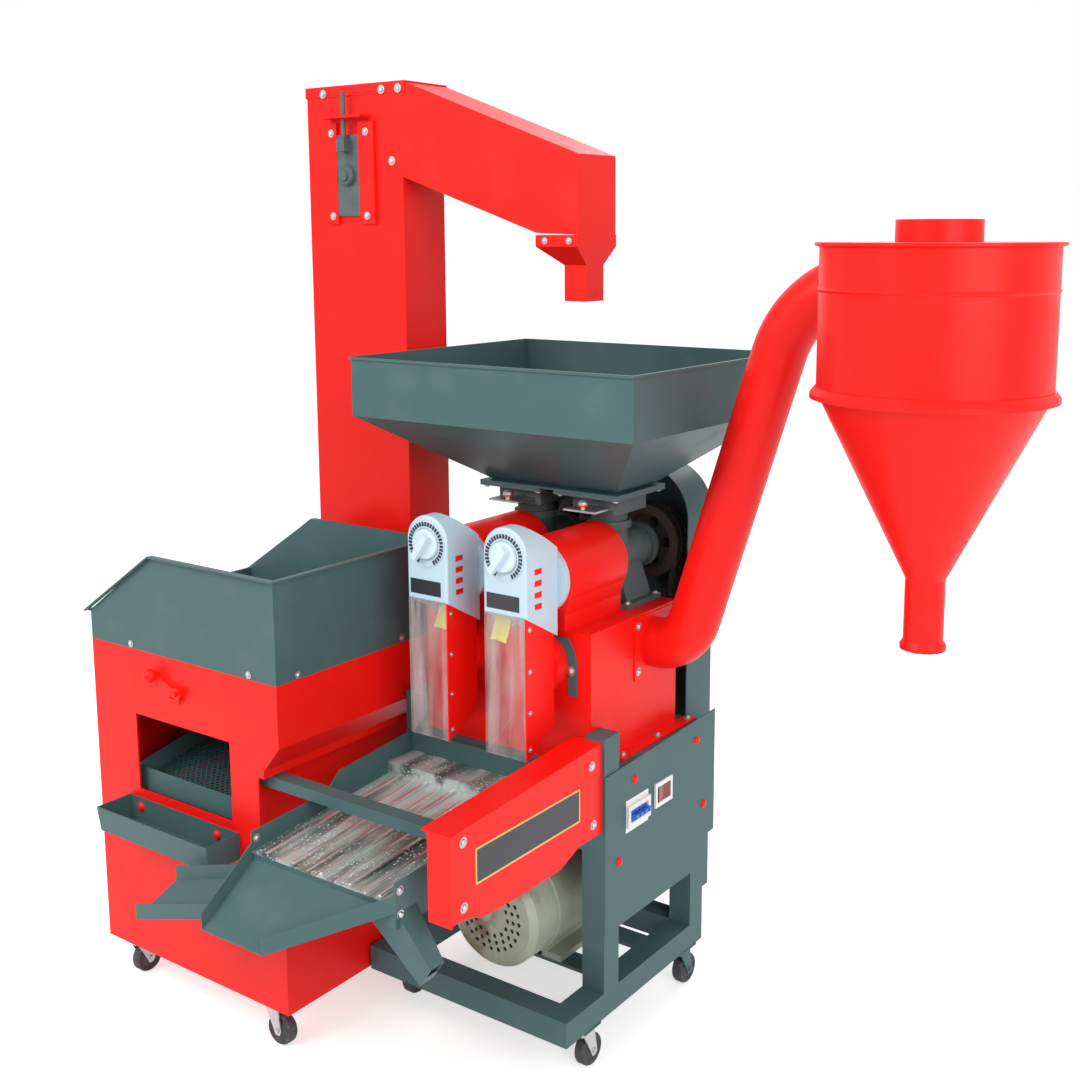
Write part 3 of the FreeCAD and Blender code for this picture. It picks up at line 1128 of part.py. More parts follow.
def take_up():
    """Return the slider with its bearing and adjusting screw."""
    y1 = CAB_Y[1] - GAP
    plate = block(TAKE_UP_X - SLIDER_W / 2, TAKE_UP_X + SLIDER_W / 2, y1 - 5, y1,
                  TAKE_UP_Z - SLIDER_H / 2, TAKE_UP_Z + SLIDER_H / 2)
    housing = turned_y([(0, y1 - 19), (9, y1 - 19), (9, y1 - 15), (15, y1 - 15), (17, y1 - 12), (17, y1 - 5), (0, y1 - 5)],
                       TAKE_UP_X, TAKE_UP_Z)
    lug_top = TAKE_UP_Z + SLIDER_H / 2 - 8
    lug = block(TAKE_UP_X - 9, TAKE_UP_X + 9, CAB_Y[1] - SCREW_Y - 9, y1 - 5, lug_top - 20, lug_top)
    screw = bar((TAKE_UP_X, CAB_Y[1] - SCREW_Y, lug_top), UP, AXLE_R, LEG_TOP - SCREW_TOP_DROP - lug_top)
    return join([plate, housing, lug, screw])


def elevator_spout():
    """Return the collar, funnel and square tube under the arm's end."""
    x = (ARM_X[0] + ARM_X[1]) / 2
    y = CAB_Y[1] + LEG_DEPTH / 2
    width, depth = ARM_X[1] - ARM_X[0], LEG_DEPTH
    z = ARM_Z[0]
    tube_x = x + 15
    brim, neck = z - SPOUT_COLLAR, z - SPOUT_FUNNEL
    collar = funnel((x, y, width, depth + 5, brim), (x, y, width, depth + 5, z), SHEET)
    cone = funnel((tube_x, y, *SPOUT_TUBE, neck), (x, y, width, depth + 5, brim), SHEET)
    tube = funnel((tube_x, y, *SPOUT_TUBE, SPOUT_LOW), (tube_x, y, *SPOUT_TUBE, neck), SHEET)
    return join([collar, cone, tube])


# --- assembly ------------------------------------------------------------------------------

def casters():
    """Return the swivel forks and all wheels by name."""
    front = {"mill_right": (MILL_CASTER_X, MILL_CASTER_Y[0], 90.0), "mill_left": (-MILL_CASTER_X, MILL_CASTER_Y[0], 90.0),
             "cabinet_right": CAB_CASTERS[0], "cabinet_left": CAB_CASTERS[1]}
    rear = {"mill_rear_right": (MILL_CASTER_X, MILL_CASTER_Y[1], 90.0),
            "mill_rear_left": (-MILL_CASTER_X, MILL_CASTER_Y[1], 90.0),
            "cabinet_rear_right": CAB_CASTERS[3], "cabinet_rear_left": CAB_CASTERS[2]}
    made = {}
    for name, place in front.items():
        made[f"fork_{name}"] = placed(swivel_fork(), *place)
    for name, place in {**front, **rear}.items():
        made[f"wheel_{name}"] = placed(caster_wheel(), *place)
    return made


def assembly():
    """Return every piece by its node name."""
    parts = {
        "mill_frame": mill_frame(), "side_panel": side_panel(), "side_guard": side_guard(), "tie_bar": tie_bar(),
        "bran_box": bran_box(), "clamp_plate": clamp_plate(), "bran_duct": bran_duct(),
        "cyclone_drum": cyclone_drum(), "cyclone_cone": cyclone_cone(), "mill_hopper": mill_hopper(),
        "belt_cover": belt_cover(), "drive_belts": drive_belts(), "motor_body": motor_body(),
        "motor_cowl": motor_cowl(), "motor_pulley": motor_pulley(), "breaker_body": breaker_body(),
        "breaker_toggle": breaker_toggle(), "switch_body": switch_body(), "power_rocker": power_rocker(),
        "sieve_tray": sieve_tray(), "sieve_deck": sieve_deck(), "cabinet_body": cabinet_body(),
        "cabinet_hopper": cabinet_hopper(), "stone_tray": stone_tray(), "gate_lever": gate_lever(),
        "stoner_screen": stoner_screen(), "elevator_leg": elevator_leg(), "take_up": take_up(),
        "elevator_spout": elevator_spout(),
    }
    units = {"right": (UNIT_X, PULLEY_Y0), "left": (-UNIT_X, PULLEY_Y0 + 2 * GROOVE_PITCH)}
    for side, (x, pulley_y) in units.items():
        parts[f"throat_{side}"] = throat(x)
        parts[f"gate_{side}"] = gate(x)
        parts[f"shroud_{side}"] = shroud(x)
        parts[f"bearing_{side}"] = bearing(x)
        parts[f"rotor_{side}"] = rotor(x, pulley_y)
        parts[f"head_{side}"] = head(x)
        parts[f"dial_{side}"] = dial(x)
        parts[f"window_{side}"] = window(x)
        parts[f"channel_{side}"] = channel(x)
    parts.update(casters())
    return parts


def origin_shift(parts):
    """Return the move that puts the origin under the middle of the whole."""
    box = Part.makeCompound(list(parts.values())).BoundBox
    return Vector(-(box.XMin + box.XMax) / 2, -(box.YMin + box.YMax) / 2, -box.ZMin)


PARTS = assembly()
SHIFT = origin_shift(PARTS)
os.makedirs("parts", exist_ok=True)
for NAME, SHAPE in PARTS.items():
    SHAPE.translate(SHIFT)
    SHAPE.exportStep(f"parts/{NAME}.step")
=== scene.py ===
"""Looks of the rice huller: finishes, fasteners, plates and markings, stage, light and camera.

Places are given in millimetres from the mill's middle plane (x), the front of its tube frame (y)
and the floor (z), as a fitter would measure them; Datum turns them into the frame's metres.
"""
from __future__ import annotations

import json
import logging
import math
from dataclasses import dataclass
from enum import Enum
from typing import Any, Sequence

import bmesh
import bpy
import numpy as np
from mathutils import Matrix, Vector

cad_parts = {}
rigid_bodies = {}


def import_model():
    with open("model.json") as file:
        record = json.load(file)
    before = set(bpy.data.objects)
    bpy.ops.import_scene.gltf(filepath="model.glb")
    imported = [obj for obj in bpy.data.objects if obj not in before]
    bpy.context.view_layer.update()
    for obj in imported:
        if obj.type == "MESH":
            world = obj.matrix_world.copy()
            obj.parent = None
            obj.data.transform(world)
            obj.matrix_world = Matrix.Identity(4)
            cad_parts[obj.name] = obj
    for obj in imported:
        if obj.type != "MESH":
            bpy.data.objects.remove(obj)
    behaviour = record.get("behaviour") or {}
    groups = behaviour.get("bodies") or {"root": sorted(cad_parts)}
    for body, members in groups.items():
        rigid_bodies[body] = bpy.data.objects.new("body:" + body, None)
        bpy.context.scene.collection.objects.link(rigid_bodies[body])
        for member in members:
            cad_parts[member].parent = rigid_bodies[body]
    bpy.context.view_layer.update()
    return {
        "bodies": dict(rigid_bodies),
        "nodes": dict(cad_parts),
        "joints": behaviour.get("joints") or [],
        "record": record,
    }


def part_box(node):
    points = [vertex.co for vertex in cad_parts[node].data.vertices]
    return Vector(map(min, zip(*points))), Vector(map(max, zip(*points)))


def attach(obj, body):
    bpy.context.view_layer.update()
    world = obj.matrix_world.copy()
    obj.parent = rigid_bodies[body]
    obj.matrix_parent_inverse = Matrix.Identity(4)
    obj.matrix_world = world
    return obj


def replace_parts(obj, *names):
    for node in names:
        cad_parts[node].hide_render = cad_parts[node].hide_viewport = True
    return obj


LOG = logging.getLogger("rice_huller")
MM = 0.001
MILLS = (("left", -74.0), ("right", 74.0))
WELD = 1e-6
SHARP_ANGLE = math.radians(40)
PLATE_ROUNDING = 0.4 * MM
WHITE = (1.0, 1.0, 1.0, 1.0)
Array = np.ndarray


class Axis(Enum):
    """Directions that a fastener, plate or turned form can face."""

    RIGHT = (1.0, 0.0, 0.0)
    FRONT = (0.0, -1.0, 0.0)
    UP = (0.0, 0.0, 1.0)
    DOWN = (0.0, 0.0, -1.0)

    def basis(self) -> Array:
        """Return a 3 by 3 matrix whose columns are two side directions and the facing one."""
        facing = np.array(self.value)
        helper = np.array([0.0, 0.0, 1.0]) if abs(facing[2]) < 0.5 else np.array([0.0, 1.0, 0.0])
        side = np.cross(helper, facing)
        side /= np.linalg.norm(side)
        return np.column_stack([side, np.cross(facing, side), facing])


# --- places --------------------------------------------------------------------------------

@dataclass
class Datum:
    """The point that all places are measured from, read from the side panel's corner."""

    panel_x: float = 195.0
    panel_y: float = 98.0

    def __post_init__(self) -> None:
        """Read the panel's corner from the frame."""
        low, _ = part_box("side_panel")
        self.origin = np.array([low.x - self.panel_x * MM, low.y - self.panel_y * MM, 0.0])

    def at(self, places: Sequence[Sequence[float]] | Array) -> Array:
        """Turn places into metres.

        Args:
            places: one (x, y, z) in millimetres per row.
        Returns:
            The same places in the frame, in metres.
        """
        return np.asarray(places, float) * MM + self.origin


# --- meshes --------------------------------------------------------------------------------

class Piece:
    """One visible piece made of surfaces that are worked out as whole arrays."""

    def __init__(self, name: str, body: str, slot: str, material: bpy.types.Material) -> None:
        """Start an empty piece.

        Args:
            name: the piece's name.
            body: the body that it rides on.
            slot: the record's material slot; not used.
            material: its finish.
        """
        self.name, self.body, self.slot, self.material = name, body, slot, material
        self.points: list[Array] = []
        self.faces: list[Array] = []
        self.count = 0

    def add(self, points: Array, faces: Array) -> None:
        """Add vertices (n by 3, metres) and quads (m by 4 indices)."""
        self.points.append(points.reshape(-1, 3))
        self.faces.append(faces + self.count)
        self.count += points.size // 3

    def surface(self, grid: Array, wrap_u: bool = False, wrap_v: bool = False) -> None:
        """Add a surface given on a grid of two parameters.

        Args:
            grid: points as an array (u, v, 3).
            wrap_u: whether the last row joins the first.
            wrap_v: whether the last column joins the first.
        """
        rows, columns = grid.shape[:2]
        index = np.arange(rows * columns).reshape(rows, columns)
        if wrap_u:
            index = np.vstack([index, index[:1]])
        if wrap_v:
            index = np.hstack([index, index[:, :1]])
        quads = np.stack([index[:-1, :-1], index[1:, :-1], index[1:, 1:], index[:-1, 1:]], axis=-1)
        self.add(grid, quads.reshape(-1, 4))

    def turned(self, profile: Array, centres: Array, axis: Axis, segments: int = 12) -> None:
        """Add copies of a profile turned about an axis: (r cos t, r sin t, h) in the axis' basis.

        Args:
            profile: (radius, height) rows in metres.
            centres: one base point per copy, in metres.
            axis: the way the heights run.
            segments: steps round the axis.
        """
        turn = np.linspace(0.0, 2.0 * math.pi, segments, endpoint=False)
        local = np.stack([profile[:, :1] * np.cos(turn), profile[:, :1] * np.sin(turn),
                          np.repeat(profile[:, 1:], segments, axis=1)], axis=-1)
        form = local @ axis.basis().T
        for centre in centres:
            self.surface(form + centre, wrap_v=True)

    def blocks(self, lows: Array, highs: Array) -> None:
        """Add boxes: each corner takes its x, y and z from the low or the high corner."""
        pick = np.array([[0, 0, 0], [1, 0, 0], [1, 1, 0], [0, 1, 0],
                         [0, 0, 1], [1, 0, 1], [1, 1, 1], [0, 1, 1]])
        quads = np.array([[0, 3, 2, 1], [4, 5, 6, 7], [0, 1, 5, 4], [1, 2, 6, 5], [2, 3, 7, 6], [3, 0, 4, 7]])
        for low, high in zip(lows, highs):
            self.add(low + pick * (high - low), quads)

    def slab(self, outline: Array, thickness: Array) -> None:
        """Add a four-cornered outline and its copy moved by a thickness, joined all round.

        Args:
            outline: four corners in order, in metres.
            thickness: the way and distance to the second face, in metres.
        """
        quads = np.array([[0, 1, 2, 3], [4, 7, 6, 5], [0, 4, 5, 1], [1, 5, 6, 2], [2, 6, 7, 3], [3, 7, 4, 0]])
        self.add(np.vstack([outline, outline + thickness]), quads)

    def finish(self, smooth: bool = True, bevel: float = 0.0) -> bpy.types.Object:
        """Make the object, point its faces outward and let it ride.

        Args:
            smooth: whether faces shade smoothly below 40 degrees.
            bevel: width of the rounding of sharp edges, in metres.
        Returns:
            The finished object.
        """
        mesh = bpy.data.meshes.new(self.name)
        mesh.from_pydata(np.vstack(self.points).tolist(), [], np.vstack(self.faces).tolist())
        form = bmesh.new()
        form.from_mesh(mesh)
        bmesh.ops.remove_doubles(form, verts=form.verts, dist=WELD)
        bmesh.ops.recalc_face_normals(form, faces=form.faces)
        form.to_mesh(mesh)
        form.free()
        mesh.materials.append(self.material)
        piece = bpy.data.objects.new(self.name, mesh)
        bpy.context.scene.collection.objects.link(piece)
        if bevel:
            rounding = piece.modifiers.new("rounding", "BEVEL")
            rounding.width, rounding.segments, rounding.limit_method = bevel, 2, "ANGLE"
        if smooth:
            mesh.shade_smooth()
            mesh.set_sharp_from_angle(angle=SHARP_ANGLE)
        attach(piece, self.body)
        LOG.info("%s: %d vertices, rides on %s", self.name, len(mesh.vertices), self.body)
        return piece


# --- shader maths --------------------------------------------------------------------------

class Signal:
    """A value socket that takes part in arithmetic; each operator adds its Math node."""

    def __init__(self, shop: PaintShop, socket: bpy.types.NodeSocket) -> None:
        """Wrap a socket of a material's tree."""
        self.shop, self.socket = shop, socket

    def _math(self, operation: str, *values: Any) -> Signal:
        """Return the result of a Math node."""
        node = self.shop.node("ShaderNodeMath", {"operation": operation}, dict(enumerate(values)))
        return Signal(self.shop, node.outputs[0])

    def __add__(self, other: Any) -> Signal:
        """Return self + other."""
        return self._math("ADD", self, other)

    def __radd__(self, other: Any) -> Signal:
        """Return other + self."""
        return self._math("ADD", other, self)

    def __sub__(self, other: Any) -> Signal:
        """Return self - other."""
        return self._math("SUBTRACT", self, other)

    def __rsub__(self, other: Any) -> Signal:
        """Return other - self."""
        return self._math("SUBTRACT", other, self)

    def __mul__(self, other: Any) -> Signal:
        """Return self * other."""
        return self._math("MULTIPLY", self, other)

    def above(self, edge: float, width: float) -> Signal:
        """Return a soft step that rises from 0 to 1 across edge over a width."""
        node = self.shop.node("ShaderNodeMapRange", {"interpolation_type": "SMOOTHSTEP"},
                              {0: self, 1: edge - width / 2, 2: edge + width / 2})
        return Signal(self.shop, node.outputs[0])


def feed(tree: bpy.types.NodeTree, target: bpy.types.NodeSocket, value: Any) -> None:
    """Link a signal or a socket to an input, or set the input's value."""
    source = value.socket if isinstance(value, Signal) else value
    if isinstance(source, bpy.types.NodeSocket):
        tree.links.new(source, target)
    else:
        target.default_value = source


def add_node(tree: bpy.types.NodeTree, kind: str, settings: dict[str, Any],
             inputs: dict[Any, Any]) -> bpy.types.Node:
    """Add a node to a tree.

    Args:
        tree: the node tree.
        kind: the node's type.
        settings: attributes that are set first.
        inputs: values, signals or sockets by the input's name or number.
    Returns:
        The new node.
    """
    made = tree.nodes.new(kind)
    for key, value in settings.items():
        setattr(made, key, value)
    for key, value in inputs.items():
        feed(tree, made.inputs[key], value)
    return made


class PaintShop:
    """Builds one node material round a Principled shader."""

    def __init__(self, name: str) -> None:
        """Start an empty material of that name."""
        self.material = bpy.data.materials.new(name)
        self.material.use_nodes = True
        self.tree = self.material.node_tree
        self.tree.nodes.clear()
        self.shader = self.node("ShaderNodeBsdfPrincipled", {}, {})
        output = self.node("ShaderNodeOutputMaterial", {}, {})
        self.tree.links.new(self.shader.outputs[0], output.inputs[0])
        self.coordinates = self.node("ShaderNodeTexCoord", {}, {}).outputs["Object"]

    def node(self, kind: str, settings: dict[str, Any], inputs: dict[Any, Any]) -> bpy.types.Node:
        """Add a node to the material; the arguments are those of add_node."""
        return add_node(self.tree, kind, settings, inputs)

    def stretched(self, scale: Sequence[float]) -> bpy.types.NodeSocket:
        """Return object coordinates multiplied by a scale per axis."""
        return self.node("ShaderNodeMapping", {}, {"Vector": self.coordinates, "Scale": scale}).outputs[0]

    def noise(self, scale: float, detail: float = 4.0, stretch: Sequence[float] = (1, 1, 1)) -> Signal:
        """Return fractal noise with features about 1 / scale metres wide."""
        node = self.node("ShaderNodeTexNoise", {}, {"Vector": self.stretched(stretch), "Scale": scale,
                                                    "Detail": detail, "Roughness": 0.55})
        return Signal(self, node.outputs[0])

    def cells(self, scale: float, stretch: Sequence[float] = (1, 1, 1)) -> Signal:
        """Return the distance to the nearest of scattered points."""
        node = self.node("ShaderNodeTexVoronoi", {}, {"Vector": self.stretched(stretch), "Scale": scale})
        return Signal(self, node.outputs["Distance"])

    def blend(self, mask: Any, first: Any, second: Any) -> bpy.types.NodeSocket:
        """Return a colour between two colours by a mask."""
        node = self.node("ShaderNodeMix", {"data_type": "RGBA"}, {0: mask, 6: first, 7: second})
        return node.outputs[2]

    def connect(self, **sockets: Any) -> None:
        """Set or link the shader's sockets; a name's underscores stand for spaces."""
        for name, value in sockets.items():
            feed(self.tree, self.shader.inputs[name.replace("_", " ")], value)

    def bump(self, height: Signal, distance: float, strength: float = 1.0) -> None:
        """Feed the shader's normal from a height, with its depth in metres."""
        node = self.node("ShaderNodeBump", {}, {"Height": height, "Distance": distance, "Strength": strength})
        self.connect(Normal=node.outputs[0])


def rgba(colour: Sequence[float]) -> tuple[float, float, float, float]:
    """Return a colour with full alpha."""
    return (*colour, 1.0)


def shade(colour: Sequence[float], factor: float) -> tuple[float, float, float, float]:
    """Return a colour made lighter or darker by a factor."""
    return rgba([min(1.0, channel * factor) for channel in colour])


@dataclass(frozen=True)
class SheetPaint:
    """Sprayed paint on sheet metal: faint orange peel, slow shade changes and dust."""

    name: str
    colour: tuple[float, float, float]
    roughness: float = 0.38
    coat: float = 0.1
    dust: float = 0.03
    shine: float = 0.22

    def build(self) -> bpy.types.Material:
        """Make the material: shade = slow noise, dust = patches that lift colour and roughness."""
        shop = PaintShop(self.name)
        slow = shop.noise(3.0, 3.0)
        patches = shop.noise(14.0, 6.0).above(0.62, 0.25)
        tone = shop.blend(slow, shade(self.colour, 0.86), shade(self.colour, 1.1))
        dusty = shop.blend(patches * self.dust, tone, rgba((0.55, 0.53, 0.5)))
        peel = shop.noise(420.0, 2.0)
        shop.connect(Base_Color=dusty, Roughness=self.roughness + patches * 0.14 + slow * 0.06,
                     Coat_Weight=self.coat, Coat_Roughness=0.22, Specular_IOR_Level=self.shine)
        shop.bump(peel + slow * 4.0, 0.0004, 0.5)
        return shop.material


@dataclass(frozen=True)
class CastPaint:
    """Paint over sand-cast iron: coarse grain and darker pits."""

    name: str
    colour: tuple[float, float, float]
    roughness: float = 0.5
    grain: float = 260.0

    def build(self) -> bpy.types.Material:
        """Make the material: pits = cell distance, tone follows a fine noise."""
        shop = PaintShop(self.name)
        pits = shop.cells(self.grain)
        mottle = shop.noise(35.0, 6.0)
        tone = shop.blend(mottle, shade(self.colour, 0.6), shade(self.colour, 1.45))
        shop.connect(Base_Color=tone, Roughness=self.roughness + mottle * 0.25)
        shop.bump(pits + mottle * 1.5, 0.0006, 0.7)
        return shop.material


@dataclass(frozen=True)
class MotorPaint:
    """Worn machine paint with chips to primer and brown rust."""

    name: str
    colour: tuple[float, float, float]

    def build(self) -> bpy.types.Material:
        """Make the material: chips and rust are noise above an edge."""
        shop = PaintShop(self.name)
        mottle = shop.noise(22.0, 8.0)
        chips = shop.noise(60.0, 8.0).above(0.62, 0.05)
        rust = shop.noise(9.0, 9.0).above(0.6, 0.12)
        tone = shop.blend(mottle, shade(self.colour, 0.75), shade(self.colour, 1.25))
        chipped = shop.blend(chips * 0.7, tone, rgba((0.42, 0.44, 0.38)))
        rusted = shop.blend(rust * 0.8, chipped, rgba((0.16, 0.09, 0.045)))
        shop.connect(Base_Color=rusted, Roughness=0.5 + rust * 0.3)
        shop.bump(mottle - chips * 0.6 + rust * 0.5, 0.0008, 0.8)
        return shop.material


@dataclass(frozen=True)
class BareMetal:
    """Zinc-plated or brushed metal with directional scratches."""

    name: str
    colour: tuple[float, float, float]
    roughness: float = 0.3
    stretch: tuple[float, float, float] = (1.0, 1.0, 1.0)
    scratch: float = 900.0

    def build(self) -> bpy.types.Material:
        """Make the material: scratches = stretched noise in roughness, tone and height."""
        shop = PaintShop(self.name)
        scratches = shop.noise(self.scratch, 3.0, self.stretch)
        clouds = shop.noise(40.0, 5.0)
        tone = shop.blend(clouds, shade(self.colour, 0.75), shade(self.colour, 1.15))
        shop.connect(Base_Color=tone, Metallic=1.0, Roughness=self.roughness + scratches * 0.2 + clouds * 0.1)
        shop.bump(scratches, 0.0002, 0.5)
        return shop.material


@dataclass(frozen=True)
class RicePolishedDeck:
    """Galvanised deck with bright and dark lanes along the flow, bran dust and stray grains."""

    name: str = "deck_steel_look"

    def build(self) -> bpy.types.Material:
        """Make the material: lanes = noise stretched along Y, grains = near scattered points."""
        shop = PaintShop(self.name)
        lanes = shop.noise(26.0, 5.0, (1.0, 0.12, 1.0))
        streaks = shop.noise(160.0, 4.0, (1.0, 0.06, 1.0))
        bran = shop.noise(18.0, 7.0, (1.0, 0.5, 1.0)).above(0.56, 0.2)
        where = shop.noise(12.0, 3.0).above(0.47, 0.14)
        grains = (1.0 - shop.cells(230.0, (1.0, 0.6, 1.0)).above(0.24, 0.06)) * where
        metal = shop.blend(lanes.above(0.5, 0.2), rgba((0.09, 0.12, 0.12)), rgba((0.50, 0.57, 0.55)))
        dusty = shop.blend(bran * 0.4, metal, rgba((0.34, 0.33, 0.23)))
        topped = shop.blend(grains, dusty, rgba((0.88, 0.90, 0.88)))
        shop.connect(Base_Color=topped, Metallic=0.35 - bran * 0.2 - grains * 0.1,
                     Roughness=0.32 + streaks * 0.25 + grains * 0.3)
        shop.bump(streaks * 0.4 + grains * 2.0, 0.0008, 0.8)
        return shop.material


@dataclass(frozen=True)
class Moulded:
    """Moulded plastic with a fine grain and slight shade changes."""

    name: str
    colour: tuple[float, float, float]
    roughness: float = 0.35
    coat: float = 0.2

    def build(self) -> bpy.types.Material:
        """Make the material: tone follows a slow noise, the grain is a fine one."""
        shop = PaintShop(self.name)
        slow = shop.noise(18.0, 4.0)
        tone = shop.blend(slow, shade(self.colour, 0.93), shade(self.colour, 1.06))
        shop.connect(Base_Color=tone, Roughness=self.roughness + slow * 0.1, Coat_Weight=self.coat)
        shop.bump(shop.noise(900.0, 2.0), 0.0001, 0.4)
        return shop.material


@dataclass(frozen=True)
class Rubber:
    """Black rubber with scuffs."""

    name: str
    colour: tuple[float, float, float] = (0.028, 0.028, 0.03)

    def build(self) -> bpy.types.Material:
        """Make the material: scuffs lift the tone where a noise is high."""
        shop = PaintShop(self.name)
        scuffs = shop.noise(120.0, 6.0).above(0.58, 0.2)
        shop.connect(Base_Color=shop.blend(scuffs * 0.5, rgba(self.colour), rgba((0.16, 0.155, 0.15))),
                     Roughness=0.6 + scuffs * 0.25)
        shop.bump(shop.noise(500.0, 3.0), 0.0003, 0.6)
        return shop.material


@dataclass(frozen=True)
class ScratchedClear:
    """Clear plastic clouded by bran, with upright smears."""

    name: str = "clear_look"

    def build(self) -> bpy.types.Material:
        """Make the material: alpha = base + smears, smears = noise stretched along Z."""
        shop = PaintShop(self.name)
        smears = shop.noise(70.0, 6.0, (1.0, 1.0, 0.07))
        clouds = shop.noise(16.0, 5.0, (1.0, 1.0, 0.5)).above(0.5, 0.3)
        shop.connect(Base_Color=shop.blend(smears, rgba((0.42, 0.42, 0.4)), rgba((0.86, 0.87, 0.85))),
                     Alpha=0.05 + smears.above(0.55, 0.3) * 0.16 + clouds * 0.14,
                     Roughness=0.12 + smears * 0.25)
        shop.bump(smears, 0.0006, 0.4)
        return shop.material


@dataclass(frozen=True)
class Finishes:
    """The whole set of finishes, by the record's material slot."""

    def build(self) -> dict[str, bpy.types.Material]:
        """Make every material and return it by slot."""
        recipes = {
            "grey_paint": SheetPaint("grey_paint_look", (0.062, 0.128, 0.131), 0.42, 0.06, 0.04),
            "red_paint": SheetPaint("red_paint_look", (0.90, 0.008, 0.004), 0.38, 0.08, 0.01),
            "cast_paint": CastPaint("cast_paint_look", (0.075, 0.105, 0.105)),
            "motor_paint": MotorPaint("motor_paint_look", (0.40, 0.44, 0.34)),
            "steel": BareMetal("steel_look", (0.55, 0.56, 0.56)),
            "deck_steel": RicePolishedDeck(),
            "head_plastic": Moulded("head_plastic_look", (0.50, 0.66, 0.76)),
            "dial_plastic": Moulded("dial_plastic_look", (0.62, 0.78, 0.86), 0.28),
            "clear_plastic": ScratchedClear(),
            "belt_rubber": Rubber("belt_rubber_look"),
            "pulley_iron": CastPaint("pulley_iron_look", (0.05, 0.042, 0.036), 0.55),
            "black_plastic": Moulded("black_plastic_look", (0.015, 0.017, 0.025), 0.4),
            "blue_plastic": Moulded("blue_plastic_look", (0.02, 0.14, 0.6), 0.3),
            "white_plastic": Moulded("white_plastic_look", (0.8, 0.81, 0.8), 0.35),
            "rocker_plastic": Moulded("rocker_plastic_look", (0.22, 0.008, 0.008), 0.25),
            "wheel_rubber": Rubber("wheel_rubber_look", (0.035, 0.035, 0.04)),
        }
        return {slot: recipe.build() for slot, recipe in recipes.items()}


# --- sub-assemblies ------------------------------------------------------------------------

@dataclass
class Fasteners:
    """All bolt heads and caps, in sets that share a size, an axis and a body."""

    datum: Datum
    finishes: dict[str, bpy.types.Material]
    head_profile: tuple[tuple[float, float], ...] = ((0.0, 0.0), (1.5, 0.0), (1.5, 0.22), (1.0, 0.24),
                                                     (0.96, 0.62), (0.7, 0.85), (0.0, 0.95))
    dome_height: float = 0.7

    def head_set(self, name: str, body: str, axis: Axis, radius: float, places: Sequence[Sequence[float]],
                 slot: str = "steel") -> None:
        """Make one set of domed heads on washers.

        Args:
            name: the piece's name.
            body: the body that it rides on.
            axis: the way the heads face.
            radius: the head's radius in millimetres.
            places: the seats in millimetres.
            slot: the finish.
        """
        piece = Piece(name, body, slot, self.finishes[slot])
        piece.turned(np.array(self.head_profile) * radius * MM, self.datum.at(places), axis)
        piece.finish()

    def cap_set(self, name: str, axis: Axis, radius: float, places: Sequence[Sequence[float]],
                body: str = "frame") -> None:
        """Make one set of red domed caps.

        Args:
            name: the piece's name.
            axis: the way the domes face.
            radius: the cap's radius in millimetres.
            places: the seats in millimetres.
            body: the body that it rides on.
        """
        turn = np.linspace(0.0, math.pi / 2, 6)
        profile = np.column_stack([np.cos(turn), np.sin(turn) * self.dome_height])
        profile = np.vstack([[0.0, 0.0], [1.0, 0.0], profile[1:]])
        piece = Piece(name, body, "red_paint", self.finishes["red_paint"])
        piece.turned(profile * radius * MM, self.datum.at(places), axis, 18)
        piece.finish()

    def build(self) -> None:
        """Make every set."""
        units = [x for _, x in MILLS]
        self.head_set("guard_bolts", "frame", Axis.RIGHT, 5,
                      [(191, -223, 479), (191, -223, 389), (191, 70, 485), (191, 74, 393)])
        self.head_set("duct_bolts", "frame", Axis.RIGHT, 4.5,
                      [(162, y, z) for y, z in ((241, 650), (241, 577), (343, 650), (343, 577))])
        self.head_set("box_bolts", "frame", Axis.UP, 4.5,
                      [(side * 170, y, 461) for side in (-1, 1) for y in (185, 286, 380)])
        self.head_set("pedestal_bolts", "frame", Axis.UP, 5,
                      [(x + side * 51, y, 675) for x in units for side in (-1, 1) for y in (266, 348)])
        self.head_set("flange_bolts", "frame", Axis.DOWN, 4.5,
                      [(x + side * 52, y, 846) for x in units for side in (-1, 1) for y in (230, 354)])
        self.head_set("chute_screws", "frame", Axis.RIGHT, 2.8,
                      [(x + 39, 26, z) for x in units for z in (688, 625, 562, 506)])
        self.head_set("leg_bolts", "frame", Axis.FRONT, 5,
                      [(-485, 238, 1490), (-349, 238, 1490), (-312, 238, 1490), (-330, 240, 1373)])
        self.head_set("guide_bolts", "frame", Axis.FRONT, 4.5,
                      [(x, 234, z) for x in (-464, -384) for z in (1423, 1283)])
        self.head_set("spout_bolts", "frame", Axis.FRONT, 3.5, [(34, 237.5, 1241), (-12, 237.5, 1241)])
        self.head_set("tray_side_bolts", "sieve", Axis.RIGHT, 4.5, [(108, -254, 402), (108, -254, 368)])
        self.head_set("tray_left_bolt", "sieve", Axis.RIGHT, 4.5, [(-166, -254, 402)])
        self.head_set("clamp_bolt", "frame", Axis.FRONT, 5, [(126, 111, 606)])
        self.head_set("hopper_front_bolts", "frame", Axis.FRONT, 4, [(-537, -175, 604), (-260, -175, 604)])
        self.head_set("hopper_side_bolts", "frame", Axis.RIGHT, 4, [(-201, -132, 604), (-201, 97, 604)])
        self.cap_set("panel_caps", Axis.RIGHT, 7,
                     [(197, 178, 430), (197, 365, 434), (197, 389, 316), (197, 135, 313)])
        for side, x in MILLS:
            self.cap_set(f"gate_cap_{side}", Axis.UP, 9, [(x, 218, 834)], f"gate_{side}")
        self.cap_set("stone_tray_caps", Axis.FRONT, 8, [(-530, -177, 330), (-345, -177, 330)])


